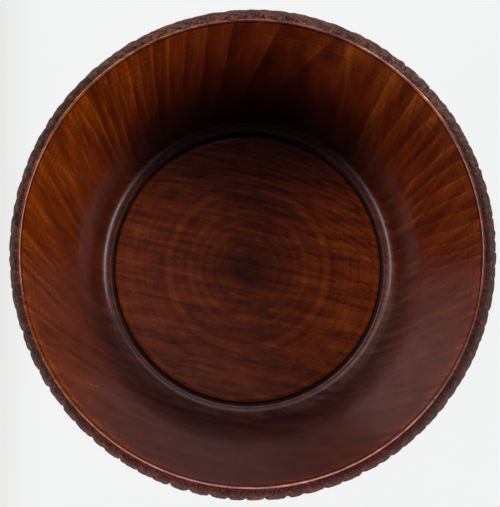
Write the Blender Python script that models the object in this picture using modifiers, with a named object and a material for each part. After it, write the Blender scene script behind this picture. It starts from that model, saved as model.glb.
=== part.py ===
"""A wooden communion chalice: a turned cup with a bark-carved outside, on a turned stem and foot.

Each piece is turned by itself. The stem pieces are bored through, threaded on one fluted dowel and glued up
between the cup and the foot, and a felt disc closes the underside of the foot. Sizes are in metres and +Z is
up. The origin is the centre of the face that the chalice stands on.
"""

import math
import random
from typing import NamedTuple

import bpy

# ---- Joints between the pieces ----
GLUE_GAP = 0.0003  # left between faces that bed on each other
END_ROOM = 0.0008  # left beyond each end of the dowel, where spare glue goes
SEAM_MERGE = 0.00001  # the first and last step of a turned shape are welded within this

# ---- Cup: hollow side ----
LIP_RADIUS = 0.0448  # inner edge of the lip
LIP_WIDTH = 0.0005
BOWL_DEPTH = 0.068
FLOOR_RADIUS = 0.0310
FLOOR_FILLET = 0.0035  # between the floor's edge and the wall
FLOOR_GROOVE_WIDTH = 0.0011  # the turner's cut just inside the floor's edge
FLOOR_GROOVE_DEPTH = 0.0005
FLOOR_DISH = 0.0004  # the floor sinks this much towards its centre

# ---- Cup: carved side ----
CUP_HEIGHT = 0.086
BELLY_SWELL = 0.0036  # how far the widest ring stands out past the lip
BELLY_DROP = 0.020  # from the lip down to the widest ring
CUP_SEAT_RADIUS = 0.0128
CUP_ROUNDNESS = 2.8  # exponent of the curve under the belly: 2 is an ellipse, more is squarer
SOCKET_DEPTH = 0.0115  # dowel socket in the underside of the cup

# ---- Stem pieces ----
COLLAR_HEIGHT = 0.0045
COLLAR_RADIUS = 0.0142
COLLAR_FLAT = 0.0006  # height of the straight band above and below its bead
UPPER_STEM_HEIGHT = 0.012
KNOP_HEIGHT = 0.020
KNOP_RADIUS = 0.0155
KNOP_LINE_OFFSET = 0.0028  # two scribed lines, this far above and below the middle
KNOP_LINE_WIDTH = 0.0010
KNOP_LINE_DEPTH = 0.0006
KNOP_END_ANGLE = 63  # degrees above and below the middle where the ball is cut flat
LOWER_STEM_HEIGHT = 0.027
STEM_END_RADIUS = 0.0112
STEM_WAIST_RADIUS = 0.0086
STEM_FILLET_HEIGHT = 0.0016  # short straight band at each end of a stem piece

# ---- Foot ----
FOOT_HEIGHT = 0.017
FOOT_RADIUS = 0.041
FOOT_EDGE_HEIGHT = 0.0065  # the carved edge
FOOT_EDGE_ROUNDING = 0.0022
FOOT_SEAT_RADIUS = 0.0150
FOOT_BEAD_RADIUS = 0.0015  # half-round bead between the carved edge and the cove
FOOT_BORE_DEPTH = 0.0115

# ---- Felt disc ----
FELT_RADIUS = 0.034
FELT_THICKNESS = 0.0020
FELT_PROUD = 0.0008  # the felt stands this far below the wood

# ---- Dowel ----
DOWEL_RADIUS = 0.0050
DOWEL_CHAMFER = 0.0010
FLUTE_COUNT = 8
FLUTE_DEPTH = 0.0004


# ---- Carving: gouge strokes that run down the outside like the furrows of bark ----


class Stretch(NamedTuple):
    """A part of the way round a piece where the strokes are alike. Angles are degrees from +X towards +Y."""

    start: float
    strokes: int
    drift: float  # how far a stroke leans sideways by its lower end, in degrees
    depth_share: float  # of the depth of the piece's deepest strokes


class Stroke(NamedTuple):
    """One gouge stroke, at the top of the carving. Angles are degrees."""

    angle: float
    half_width: float
    depths: tuple  # of its left ridge, its bottom and its right ridge, below the turned surface


CUP_STRETCHES = (
    Stretch(0, 16, -3, 0.6),
    Stretch(60, 12, 14, 0.65),
    Stretch(120, 12, 3, 0.65),
    Stretch(180, 10, 1, 0.95),
    Stretch(240, 13, -2, 1.0),
    Stretch(300, 9, -1, 0.6),
)
CUP_STROKE_DEPTH = 0.0011
FOOT_STRETCHES = (Stretch(0, 13, 2, 0.8), Stretch(180, 15, -2, 1.0))
FOOT_STROKE_DEPTH = 0.0009
DRIFT_LENGTH = 0.008  # a stroke has drifted two thirds of the way after this much height
JITTER_SHARE = 0.25  # of the distance to the next stroke
STROKE_WIDTH_SHARES = (0.25, 0.5)  # of the room that the jitter leaves, least and most
STROKE_DEPTH_SHARES = (0.55, 1.0)  # of the stretch's depth, least and most
RIDGE_DEPTH_SHARES = (0.0, 0.15)  # of the stretch's depth, least and most
LIP_FADE = 0.003  # strokes reach their depth this far below the lip
SEAT_FADE = 0.009  # and run out within this distance of the seat
CARVING_SEED = 11

# ---- Smoothness of the turned shapes ----
CUTTER_STEPS = 72
STEM_STEPS = 32
KNOP_STEPS = 40
FELT_STEPS = 56
DOWEL_STEPS = 4 * FLUTE_COUNT
COLUMNS_PER_STROKE = 3  # a ridge, the bottom of the cut, and the next ridge
CUTTER_OVERRUN = 0.002  # how far a cutter passes the face that it cuts
SHARP_ANGLE = 40  # degrees: faces that meet at more than this are shaded with an edge

# ---- Sizes worked out from those above ----
BELLY_RADIUS = LIP_RADIUS + LIP_WIDTH + BELLY_SWELL
FOOT_BASE = FELT_PROUD
LOWER_COLLAR_BASE = FOOT_BASE + FOOT_HEIGHT + GLUE_GAP
LOWER_STEM_BASE = LOWER_COLLAR_BASE + COLLAR_HEIGHT + GLUE_GAP
KNOP_BASE = LOWER_STEM_BASE + LOWER_STEM_HEIGHT + GLUE_GAP
UPPER_STEM_BASE = KNOP_BASE + KNOP_HEIGHT + GLUE_GAP
UPPER_COLLAR_BASE = UPPER_STEM_BASE + UPPER_STEM_HEIGHT + GLUE_GAP
CUP_BASE = UPPER_COLLAR_BASE + COLLAR_HEIGHT + GLUE_GAP
BORE_RADIUS = DOWEL_RADIUS + GLUE_GAP
DOWEL_BASE = FOOT_BASE + FOOT_HEIGHT - FOOT_BORE_DEPTH + END_ROOM
DOWEL_TOP = CUP_BASE + SOCKET_DEPTH - END_ROOM

# ---- Materials: (colour as linear RGB, roughness) ----
LACQUERED_WOOD = ("lacquered_wood", (0.090, 0.020, 0.006), 0.32)
CARVED_WOOD = ("carved_wood", (0.055, 0.024, 0.018), 0.75)
TURNED_WOOD = ("turned_wood", (0.075, 0.018, 0.007), 0.38)
BARE_WOOD = ("bare_wood", (0.480, 0.310, 0.170), 0.70)
FELT = ("felt", (0.060, 0.011, 0.014), 0.95)


# ---- Outlines: lists of (radius, height) in a piece's own frame ----


def on_ellipse(centre, size, angle):
    """The point of an ellipse at an angle in degrees, from its outer side upwards."""
    turn = math.radians(angle)
    return (centre[0] + size[0] * math.cos(turn), centre[1] + size[1] * math.sin(turn))


def arc(centre, size, start, end, count):
    """Points on an ellipse from the start angle to the end angle, with this many spaces between them."""
    return [on_ellipse(centre, size, start + (end - start) * i / count) for i in range(count + 1)]


def belly_outline(rows):
    """The superellipse from the widest ring of the cup down to the edge of its seat."""
    power = 2 / CUP_ROUNDNESS
    end = math.acos((CUP_SEAT_RADIUS / BELLY_RADIUS) ** (1 / power))
    points = []
    for i in range(1, rows + 1):
        turn = end * i / rows
        risen = 1 - (math.sin(turn) / math.sin(end)) ** power
        points.append((BELLY_RADIUS * math.cos(turn) ** power, (CUP_HEIGHT - BELLY_DROP) * risen))
    return points


def cup_outline():
    """The solid blank of the cup, from the centre of its top down its outer side to the centre of its seat."""
    lip = LIP_RADIUS + LIP_WIDTH
    shoulder = arc((lip, CUP_HEIGHT - BELLY_DROP), (BELLY_RADIUS - lip, BELLY_DROP), 90, 0, 5)
    return [(0, CUP_HEIGHT)] + shoulder + belly_outline(rows=7) + [(0, 0)]


def bowl_outline():
    """The cutter that hollows the cup, from the centre of its top down its outer side to the floor's centre."""
    floor = CUP_HEIGHT - BOWL_DEPTH
    # The wall runs straight from the lip and touches the fillet, which starts at the floor's edge.
    across = LIP_RADIUS - FLOOR_RADIUS
    up = BOWL_DEPTH - FLOOR_FILLET
    touch = math.atan2(up, across) - math.acos(FLOOR_FILLET / math.hypot(across, up))
    centre = (FLOOR_RADIUS, floor + FLOOR_FILLET)
    fillet = arc(centre, (FLOOR_FILLET, FLOOR_FILLET), math.degrees(touch), -90, 6)
    top_radius = LIP_RADIUS - CUTTER_OVERRUN * math.tan(touch)
    groove_bottom = (FLOOR_RADIUS - FLOOR_GROOVE_WIDTH / 2, floor - FLOOR_GROOVE_DEPTH)
    return (
        [(0, CUP_HEIGHT + CUTTER_OVERRUN), (top_radius, CUP_HEIGHT + CUTTER_OVERRUN)]
        + fillet
        + [groove_bottom, (FLOOR_RADIUS - FLOOR_GROOVE_WIDTH, floor), (0, floor - FLOOR_DISH)]
    )


def bored(outline):
    """Closes an outer outline, given top to bottom, with the straight wall of the dowel's bore."""
    return outline + [(BORE_RADIUS, outline[-1][1]), (BORE_RADIUS, outline[0][1])]


def collar_outline():
    """A ring with a half-round bead between two narrow flats."""
    bead_height = COLLAR_HEIGHT - 2 * COLLAR_FLAT
    neck = COLLAR_RADIUS - bead_height / 2
    bead = arc((neck, COLLAR_HEIGHT / 2), (bead_height / 2, bead_height / 2), 90, -90, 6)
    return bored([(neck, COLLAR_HEIGHT)] + bead + [(neck, 0)])


def stem_outline(height):
    """A spool: a short band at each end and a hollow curve between them."""
    hollow = STEM_END_RADIUS - STEM_WAIST_RADIUS
    half = height / 2 - STEM_FILLET_HEIGHT
    cove = arc((STEM_END_RADIUS, height / 2), (hollow, half), 90, 270, 7)
    return bored([(STEM_END_RADIUS, height)] + cove + [(STEM_END_RADIUS, 0)])


def knop_outline():
    """A flattened ball with a flat at each end and two scribed lines about its middle."""
    across = (KNOP_RADIUS - STEM_END_RADIUS) / (1 - math.cos(math.radians(KNOP_END_ANGLE)))
    up = KNOP_HEIGHT / 2 / math.sin(math.radians(KNOP_END_ANGLE))
    centre = (KNOP_RADIUS - across, KNOP_HEIGHT / 2)
    ball = (across, up)
    sunk = (across - KNOP_LINE_DEPTH, up)
    line = math.degrees(math.asin(KNOP_LINE_OFFSET / up))
    half_line = math.degrees(KNOP_LINE_WIDTH / 2 / up)
    return bored(
        arc(centre, ball, KNOP_END_ANGLE, line + half_line, 4)
        + [on_ellipse(centre, sunk, line)]
        + arc(centre, ball, line - half_line, half_line - line, 2)
        + [on_ellipse(centre, sunk, -line)]
        + arc(centre, ball, -line - half_line, -KNOP_END_ANGLE, 4)
    )


def foot_outline():
    """The foot: a seat, a cove that sweeps out to a bead, and the carved edge, over a recess for the felt."""
    bead_radius = FOOT_RADIUS - FOOT_EDGE_ROUNDING - FOOT_BEAD_RADIUS
    bead_centre = (bead_radius, FOOT_EDGE_HEIGHT + FOOT_BEAD_RADIUS / 3)
    bead = arc(bead_centre, (FOOT_BEAD_RADIUS, FOOT_BEAD_RADIUS), 150, 15, 3)
    cove_base = FOOT_EDGE_HEIGHT + FOOT_BEAD_RADIUS
    cove_top = FOOT_HEIGHT - STEM_FILLET_HEIGHT
    cove_reach = bead_radius - FOOT_BEAD_RADIUS - FOOT_SEAT_RADIUS
    cove_centre = (FOOT_SEAT_RADIUS + cove_reach, cove_top)
    cove = arc(cove_centre, (cove_reach, cove_top - cove_base), 180, 270, 5)
    rounding_centre = (FOOT_RADIUS - FOOT_EDGE_ROUNDING, FOOT_EDGE_HEIGHT - FOOT_EDGE_ROUNDING)
    rounding = arc(rounding_centre, (FOOT_EDGE_ROUNDING, FOOT_EDGE_ROUNDING), 60, 0, 2)
    recess_radius = FELT_RADIUS + GLUE_GAP
    recess_top = FELT_THICKNESS + GLUE_GAP - FELT_PROUD
    return (
        [(0, FOOT_HEIGHT), (FOOT_SEAT_RADIUS, FOOT_HEIGHT)]
        + cove
        + bead
        + rounding
        + [(FOOT_RADIUS, FOOT_EDGE_HEIGHT / 3), (FOOT_RADIUS - FOOT_EDGE_ROUNDING / 3, 0)]
        + [(recess_radius, 0), (recess_radius, recess_top), (0, recess_top)]
    )


def hole_outline(top, bottom):
    """A cutter for the dowel's hole, between two heights."""
    return [(0, top), (BORE_RADIUS, top), (BORE_RADIUS, bottom), (0, bottom)]


def dowel_outline():
    """The dowel, chamfered at both ends, from the centre of its top."""
    height = DOWEL_TOP - DOWEL_BASE
    chamfered = DOWEL_RADIUS - DOWEL_CHAMFER
    return [
        (0, height),
        (chamfered, height),
        (DOWEL_RADIUS, height - DOWEL_CHAMFER),
        (DOWEL_RADIUS, DOWEL_CHAMFER),
        (chamfered, 0),
        (0, 0),
    ]


# ---- Making and cutting turned shapes ----


def material(finish):
    """The material of a finish, made the first time it is asked for."""
    name, colour, roughness = finish
    found = bpy.data.materials.get(name)
    if found:
        return found
    made = bpy.data.materials.new(name)
    made.use_nodes = True
    shader = made.node_tree.nodes["Principled BSDF"]
    shader.inputs["Base Color"].default_value = (*colour, 1)
    shader.inputs["Roughness"].default_value = roughness
    shader.inputs["Metallic"].default_value = 0
    made.diffuse_color = (*colour, 1)
    return made


def turned(name, outline, base, finish, steps, home):
    """A shape turned about Z from its outline, standing at a height. An outline off the axis is a ring."""
    mesh = bpy.data.meshes.new(name)
    edges = [(i, i + 1) for i in range(len(outline) - 1)]
    if outline[0][0] > 0:
        edges.append((len(outline) - 1, 0))
    mesh.from_pydata([(radius, 0, height) for radius, height in outline], edges, [])
    mesh.materials.append(material(finish))
    piece = bpy.data.objects.new(name, mesh)
    piece.location = (0, 0, base)
    home.objects.link(piece)
    screw = piece.modifiers.new("turning", "SCREW")
    screw.axis = "Z"
    screw.steps = steps
    screw.render_steps = steps
    screw.use_merge_vertices = True
    screw.merge_threshold = SEAM_MERGE
    return piece


def settle(piece):
    """Gives a piece the mesh that its modifiers make, shaded smooth but for its sharp edges."""
    bpy.context.view_layer.update()
    graph = bpy.context.evaluated_depsgraph_get()
    mesh = bpy.data.meshes.new_from_object(piece.evaluated_get(graph))
    piece.modifiers.clear()
    piece.data = mesh
    mesh.shade_smooth()
    mesh.set_sharp_from_angle(angle=math.radians(SHARP_ANGLE))


def cut(piece, cutter):
    """Takes the cutter's shape out of a piece."""
    cutter.hide_render = True
    cutter.display_type = "WIRE"
    boolean = piece.modifiers.new("cut_by_" + cutter.name, "BOOLEAN")
    boolean.operation = "DIFFERENCE"
    boolean.solver = "EXACT"
    boolean.object = cutter


# ---- Carving ----


def eased(share):
    """A smooth step from 0 to 1."""
    share = min(max(share, 0), 1)
    return share * share * (3 - 2 * share)


def ends_of(stretches):
    """Where each stretch ends, in degrees: at the next one's start."""
    return [stretch.start for stretch in stretches[1:]] + [stretches[0].start + 360]


def strokes_of(stretches, depth, seed):
    """The gouge strokes round a piece, in order, the deepest of them of this depth."""
    chance = random.Random(seed)
    strokes = []
    for stretch, end in zip(stretches, ends_of(stretches)):
        pitch = (end - stretch.start) / stretch.strokes
        for i in range(stretch.strokes):
            angle = stretch.start + pitch * (i + 0.5 + JITTER_SHARE * (chance.random() - 0.5))
            half_width = pitch * (1 - JITTER_SHARE) / 2 * chance.uniform(*STROKE_WIDTH_SHARES)
            shares = (RIDGE_DEPTH_SHARES, STROKE_DEPTH_SHARES, RIDGE_DEPTH_SHARES)
            depths = tuple(depth * stretch.depth_share * chance.uniform(*share) for share in shares)
            strokes.append(Stroke(angle, half_width, depths))
    return strokes


def drift_at(stretches, angle):
    """How far a stroke at this angle drifts, eased from the middle of one stretch to the next one's."""
    middles = [(stretch.start + end) / 2 for stretch, end in zip(stretches, ends_of(stretches))]
    drifts = [stretch.drift for stretch in stretches]
    middles.append(middles[0] + 360)
    drifts.append(drifts[0])
    angle = middles[0] + (angle - middles[0]) % 360
    i = sum(middle <= angle for middle in middles[1:-1])
    share = (angle - middles[i]) / (middles[i + 1] - middles[i])
    return drifts[i] + (drifts[i + 1] - drifts[i]) * eased(share)


def carve(piece, stretches, strokes, strength, top):
    """Cuts strokes into a turned mesh whose columns of points are three to a stroke.

    strength(radius, height) is the share of its full depth that a stroke has there, and top is the height that
    strokes drift from. Each column moves to its stroke's left ridge, bottom or right ridge, and then inwards.
    """
    column_count = COLUMNS_PER_STROKE * len(strokes)
    for point in piece.data.vertices:
        radius = math.hypot(point.co.x, point.co.y)
        if radius < SEAM_MERGE:
            continue
        column = round(math.atan2(point.co.y, point.co.x) / math.tau * column_count) % column_count
        stroke = strokes[column // COLUMNS_PER_STROKE]
        place = column % COLUMNS_PER_STROKE
        turn = stroke.angle + (place - 1) * stroke.half_width
        drop = max(top - point.co.z, 0)
        turn += drift_at(stretches, turn) * (1 - math.exp(-drop / DRIFT_LENGTH))
        radius -= stroke.depths[place] * strength(radius, point.co.z)
        point.co.x = radius * math.cos(math.radians(turn))
        point.co.y = radius * math.sin(math.radians(turn))


def cup_strength(radius, height):
    """Strokes fade in below the lip, and run out above the seat as the cup narrows."""
    from_lip = eased((CUP_HEIGHT - height) / LIP_FADE)
    from_seat = eased((radius - CUP_SEAT_RADIUS) / SEAT_FADE)
    return from_lip * from_seat * radius / BELLY_RADIUS


def foot_strength(radius, height):
    """Strokes cut only the foot's edge, and fade out on its rounding, below the bead."""
    on_edge = radius > FOOT_RADIUS - FOOT_EDGE_ROUNDING
    return eased((FOOT_EDGE_HEIGHT - height) / FOOT_EDGE_ROUNDING) if on_edge else 0


# ---- The pieces ----


def make_cup(home, cutters):
    """The cup: a turned blank, carved outside, then hollowed and given its dowel socket."""
    columns = COLUMNS_PER_STROKE * sum(stretch.strokes for stretch in CUP_STRETCHES)
    cup = turned("cup", cup_outline(), CUP_BASE, LACQUERED_WOOD, columns, home)
    settle(cup)
    strokes = strokes_of(CUP_STRETCHES, CUP_STROKE_DEPTH, CARVING_SEED)
    carve(cup, CUP_STRETCHES, strokes, cup_strength, CUP_HEIGHT)
    cut(cup, turned("bowl_cutter", bowl_outline(), CUP_BASE, LACQUERED_WOOD, CUTTER_STEPS, cutters))
    socket = hole_outline(SOCKET_DEPTH, -CUTTER_OVERRUN)
    cut(cup, turned("socket_cutter", socket, CUP_BASE, BARE_WOOD, DOWEL_STEPS, cutters))
    return cup


def make_foot(home, cutters):
    """The foot: turned, carved round its edge, and bored from above for the dowel."""
    columns = COLUMNS_PER_STROKE * sum(stretch.strokes for stretch in FOOT_STRETCHES)
    foot = turned("foot", foot_outline(), FOOT_BASE, CARVED_WOOD, columns, home)
    settle(foot)
    strokes = strokes_of(FOOT_STRETCHES, FOOT_STROKE_DEPTH, CARVING_SEED + 1)
    carve(foot, FOOT_STRETCHES, strokes, foot_strength, FOOT_EDGE_HEIGHT)
    bore = hole_outline(FOOT_HEIGHT + CUTTER_OVERRUN, FOOT_HEIGHT - FOOT_BORE_DEPTH)
    cut(foot, turned("bore_cutter", bore, FOOT_BASE, BARE_WOOD, DOWEL_STEPS, cutters))
    return foot


def make_dowel(home):
    """The dowel: turned, with glue flutes along its sides."""
    dowel = turned("stem_dowel", dowel_outline(), DOWEL_BASE, BARE_WOOD, DOWEL_STEPS, home)
    settle(dowel)
    for point in dowel.data.vertices:
        radius = math.hypot(point.co.x, point.co.y)
        column = round(math.atan2(point.co.y, point.co.x) / math.tau * DOWEL_STEPS)
        if radius > SEAM_MERGE and column % (DOWEL_STEPS // FLUTE_COUNT) == 0:
            point.co.x *= 1 - FLUTE_DEPTH / radius
            point.co.y *= 1 - FLUTE_DEPTH / radius
    return dowel


def make_felt(home):
    """The felt disc in the foot's recess, which the chalice stands on."""
    outline = [(0, FELT_THICKNESS), (FELT_RADIUS, FELT_THICKNESS), (FELT_RADIUS, 0), (0, 0)]
    return turned("base_felt", outline, 0, FELT, FELT_STEPS, home)


def make_stem(home):
    """The pieces between the foot and the cup, from the lowest up."""
    return [
        turned("lower_collar", collar_outline(), LOWER_COLLAR_BASE, TURNED_WOOD, STEM_STEPS, home),
        turned("lower_stem", stem_outline(LOWER_STEM_HEIGHT), LOWER_STEM_BASE, TURNED_WOOD, STEM_STEPS, home),
        turned("knop", knop_outline(), KNOP_BASE, TURNED_WOOD, KNOP_STEPS, home),
        turned("upper_stem", stem_outline(UPPER_STEM_HEIGHT), UPPER_STEM_BASE, TURNED_WOOD, STEM_STEPS, home),
        turned("upper_collar", collar_outline(), UPPER_COLLAR_BASE, TURNED_WOOD, STEM_STEPS, home),
    ]


def build():
    """Clears the scene and makes the chalice, each piece parented to one empty on its axis."""
    for old in list(bpy.data.objects):
        bpy.data.objects.remove(old)
    home = bpy.data.collections.new("communion_chalice")
    cutters = bpy.data.collections.new("cutters")
    for collection in (home, cutters):
        bpy.context.scene.collection.children.link(collection)

    pieces = [make_felt(home), make_foot(home, cutters), make_dowel(home)]
    pieces += make_stem(home)
    pieces.append(make_cup(home, cutters))

    axis = bpy.data.objects.new("chalice_axis", None)
    home.objects.link(axis)
    for piece in pieces:
        settle(piece)
        piece.parent = axis


build()
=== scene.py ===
"""A turned wooden communion chalice with a bark-carved bowl, dressed and lit as in its photograph.

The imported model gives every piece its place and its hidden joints. Here each piece is turned again as a fine
surface: an outline of (radius, height) points is carried round the axis, and the bark is cut into it. Every
wooden piece is coloured as one solid block of timber, so that its growth rings and fibres run through it.
Lengths are in metres, +Z is up, and the origin is the centre of the face that the chalice stands on.
"""

from __future__ import annotations

import logging
import math
import random
from dataclasses import dataclass, field
from enum import Enum

import bpy
import numpy as np
from mathutils import Matrix, Vector

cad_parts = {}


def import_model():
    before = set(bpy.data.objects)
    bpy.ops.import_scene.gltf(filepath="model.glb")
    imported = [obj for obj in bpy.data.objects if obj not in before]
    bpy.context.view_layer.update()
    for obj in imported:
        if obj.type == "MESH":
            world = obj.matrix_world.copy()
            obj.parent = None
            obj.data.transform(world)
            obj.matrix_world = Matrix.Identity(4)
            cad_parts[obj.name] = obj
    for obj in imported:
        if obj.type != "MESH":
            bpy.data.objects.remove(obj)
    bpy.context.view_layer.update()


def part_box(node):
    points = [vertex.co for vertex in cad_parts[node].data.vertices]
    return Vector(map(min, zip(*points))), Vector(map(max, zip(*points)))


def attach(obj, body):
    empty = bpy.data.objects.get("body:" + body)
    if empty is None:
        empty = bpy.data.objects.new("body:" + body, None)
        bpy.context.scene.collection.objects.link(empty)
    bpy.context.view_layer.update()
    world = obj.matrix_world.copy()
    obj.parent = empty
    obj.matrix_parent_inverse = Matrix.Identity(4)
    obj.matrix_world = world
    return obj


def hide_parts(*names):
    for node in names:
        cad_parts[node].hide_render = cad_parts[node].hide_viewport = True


Node, Socket, Tree = bpy.types.Node, bpy.types.NodeSocket, bpy.types.NodeTree
Material, Object = bpy.types.Material, bpy.types.Object

MM = 0.001
log = logging.getLogger("chalice")


# ---- Small tools ----


def linear(colour: str) -> tuple[float, float, float, float]:
    """Turns an sRGB hex colour into the linear colour that the shaders take.

    Args:
        colour: six hex digits, such as "8a4b20".

    Returns:
        Linear red, green and blue, and an alpha of 1.
    """
    shares = [int(colour[i : i + 2], 16) / 255 for i in (0, 2, 4)]
    return (*(s / 12.92 if s <= 0.04045 else ((s + 0.055) / 1.055) ** 2.4 for s in shares), 1.0)


def plug(tree: Tree, node: Node, inputs: dict) -> None:
    """Fills a node's sockets with values and links.

    Args:
        tree: the node tree.
        node: the node.
        inputs: sockets by name or number, each with its value or another node's output.
    """
    for name, value in inputs.items():
        if isinstance(value, Socket):
            tree.links.new(value, node.inputs[name])
        else:
            node.inputs[name].default_value = value


def add(tree: Tree, kind: str, inputs: dict | None = None, **settings: object) -> Node:
    """Adds one node to a tree, with its settings and its links.

    Args:
        tree: the node tree that gets the node.
        kind: the node's type name.
        inputs: sockets by name or number, each given a value or another node's output.
        settings: the node's own properties.

    Returns:
        The new node.
    """
    node = tree.nodes.new(kind)
    for name, value in settings.items():
        setattr(node, name, value)
    plug(tree, node, inputs or {})
    return node


def set_stops(node: Node, stops: list[tuple[float, tuple]]) -> Socket:
    """Gives a colour ramp its stops.

    Args:
        node: the ramp's node.
        stops: each stop's position from 0 to 1, and its linear colour.

    Returns:
        The ramp's colour output.
    """
    elements = node.color_ramp.elements
    while len(elements) > 1:
        elements.remove(elements[-1])
    elements[0].position, elements[0].color = stops[0]
    for position, colour in stops[1:]:
        elements.new(position).color = colour
    return node.outputs["Color"]


def grey(level: float) -> tuple[float, float, float, float]:
    """A grey of this linear level."""
    return (level, level, level, 1.0)


def eased(share: np.ndarray) -> np.ndarray:
    """A smooth step from 0 to 1: three times the square less twice the cube, between clipped ends."""
    share = np.clip(share, 0, 1)
    return share * share * (3 - 2 * share)


def lattice_noise(around: np.ndarray, along: np.ndarray, cells: tuple[int, int], seed: int) -> np.ndarray:
    """Smooth noise on a turned surface: random corner values, blended across each cell with an eased step.

    Args:
        around: share of the way round, in turns. The noise repeats after one turn.
        along: share of the way along, from 0 to 1.
        cells: how many cells there are around and along.
        seed: seed of the corner values.

    Returns:
        Values from -1 to 1, one for each point.
    """
    corners = np.random.default_rng(seed).uniform(-1, 1, (cells[0], cells[1] + 1))
    u = np.mod(around, 1) * cells[0]
    v = np.clip(along, 0, 1) * cells[1]
    i = np.minimum(u.astype(int), cells[0] - 1)
    j = np.minimum(v.astype(int), cells[1] - 1)
    s, t = eased(u - i), eased(v - j)
    k = (i + 1) % cells[0]
    near = corners[i, j] * (1 - s) + corners[k, j] * s
    far = corners[i, j + 1] * (1 - s) + corners[k, j + 1] * s
    return near * (1 - t) + far * t


# ---- Outlines: arrays of (radius, height) points, walked with the wood on the left hand ----


def arc(
    centre: tuple[float, float], size: tuple[float, float], start: float, end: float, rows: int
) -> np.ndarray:
    """Points on an ellipse: the centre plus the half axes times the cosine and the sine of an angle.

    Args:
        centre: the ellipse's centre.
        size: its half axes, outward and upward.
        start: first angle in degrees, from the outer side upwards.
        end: last angle in degrees.
        rows: spaces between the points.

    Returns:
        The points, rows + 1 of them.
    """
    turn = np.radians(np.linspace(start, end, rows + 1))
    return np.stack([centre[0] + size[0] * np.cos(turn), centre[1] + size[1] * np.sin(turn)], axis=1)


def run(start: tuple[float, float], end: tuple[float, float], rows: int) -> np.ndarray:
    """Evenly spaced points on a straight line, rows + 1 of them."""
    return np.linspace(start, end, rows + 1)


def spaced(outline: np.ndarray, rows: int) -> np.ndarray:
    """Walks an outline again in even steps of its length, with this many spaces.

    Args:
        outline: points of (radius, height).
        rows: how many spaces to leave between the new points.

    Returns:
        The new points, rows + 1 of them.
    """
    steps = np.hypot(*np.diff(outline, axis=0).T)
    walked = np.concatenate([[0], np.cumsum(steps)])
    stops = np.linspace(0, walked[-1], rows + 1)
    return np.stack([np.interp(stops, walked, outline[:, i]) for i in (0, 1)], axis=1)


def joined(*parts: np.ndarray) -> np.ndarray:
    """Joins outlines end to end, and leaves out the points that repeat.

    Args:
        parts: the outlines in order.

    Returns:
        One outline.
    """
    outline = np.concatenate(parts)
    apart = np.hypot(*np.diff(outline, axis=0).T) > 1e-7
    return outline[np.concatenate([[True], apart])]


def eased_corners(outline: np.ndarray, radius: float, rows: int = 3) -> np.ndarray:
    """Breaks the sharp corners of an outline, as a turner does with fine abrasive.

    Each corner that turns by more than 35 degrees becomes a quadratic curve: its ends lie on the two sides at
    the given distance from the corner, or a third of a side where that is shorter, and the corner pulls it.

    Args:
        outline: the points of a closed outline, the first not repeated.
        radius: distance from the corner at which the curve starts.
        rows: spaces along each curve.

    Returns:
        The closed outline with its corners broken.
    """
    before, after = np.roll(outline, 1, axis=0) - outline, np.roll(outline, -1, axis=0) - outline
    long_before, long_after = np.hypot(*before.T), np.hypot(*after.T)
    turn = np.sum(before * after, axis=1) / (long_before * long_after)
    parts = []
    for i, point in enumerate(outline):
        if turn[i] < -math.cos(math.radians(35)):
            parts.append(point[None])
            continue
        first = point + before[i] / long_before[i] * min(radius, long_before[i] / 3)
        last = point + after[i] / long_after[i] * min(radius, long_after[i] / 3)
        t = np.linspace(0, 1, rows + 1)[:, None]
        parts.append(first * (1 - t) ** 2 + point * 2 * t * (1 - t) + last * t**2)
    return np.concatenate(parts)


# ---- Turned surfaces ----


def ring_grid(outline: np.ndarray, columns: int) -> tuple[np.ndarray, np.ndarray, np.ndarray]:
    """Carries an outline round the axis.

    Args:
        outline: points of (radius, height).
        columns: how many columns go round.

    Returns:
        Angle in radians, radius and height, each with a row for a point of the outline and a column for a
        step.
    """
    angle = np.arange(columns) / columns * math.tau
    shape = (len(outline), columns)
    return np.broadcast_to(angle, shape), *(np.broadcast_to(outline[:, i : i + 1], shape) for i in (0, 1))


def placed(angle: np.ndarray, radius: np.ndarray, height: np.ndarray) -> np.ndarray:
    """Points from polar places: radius times cosine and sine of the angle, and the height."""
    return np.stack([radius * np.cos(angle), radius * np.sin(angle), height], axis=-1).reshape(-1, 3)


def strip(first: int, rows: int, columns: int, closed: bool = False) -> np.ndarray:
    """Four-sided faces between neighbouring rings, which face away from the wood.

    Args:
        first: index of the first point of the first ring.
        rows: how many rings there are.
        columns: points in a ring.
        closed: whether the last ring is joined back to the first.

    Returns:
        An array of faces by four point indices.
    """
    row = np.arange(rows if closed else rows - 1)[:, None]
    column = np.arange(columns)[None]
    beside, above = (column + 1) % columns, (row + 1) % rows
    here, over = row * columns, above * columns
    corners = [here + column, here + beside, over + beside, over + column]
    return first + np.stack(corners, axis=-1).reshape(-1, 4)


def fan(pole: int, first: int, columns: int, pole_first: bool) -> np.ndarray:
    """Three-sided faces from one point on the axis to a ring.

    Args:
        pole: index of the point on the axis.
        first: index of the ring's first point.
        columns: points in the ring.
        pole_first: whether the outline comes to the pole before the ring.

    Returns:
        An array of faces by three point indices.
    """
    here = first + np.arange(columns)
    beside = first + (np.arange(columns) + 1) % columns
    middle = np.full(columns, pole)
    return np.stack([middle, beside, here] if pole_first else [here, beside, middle], axis=1)


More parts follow.
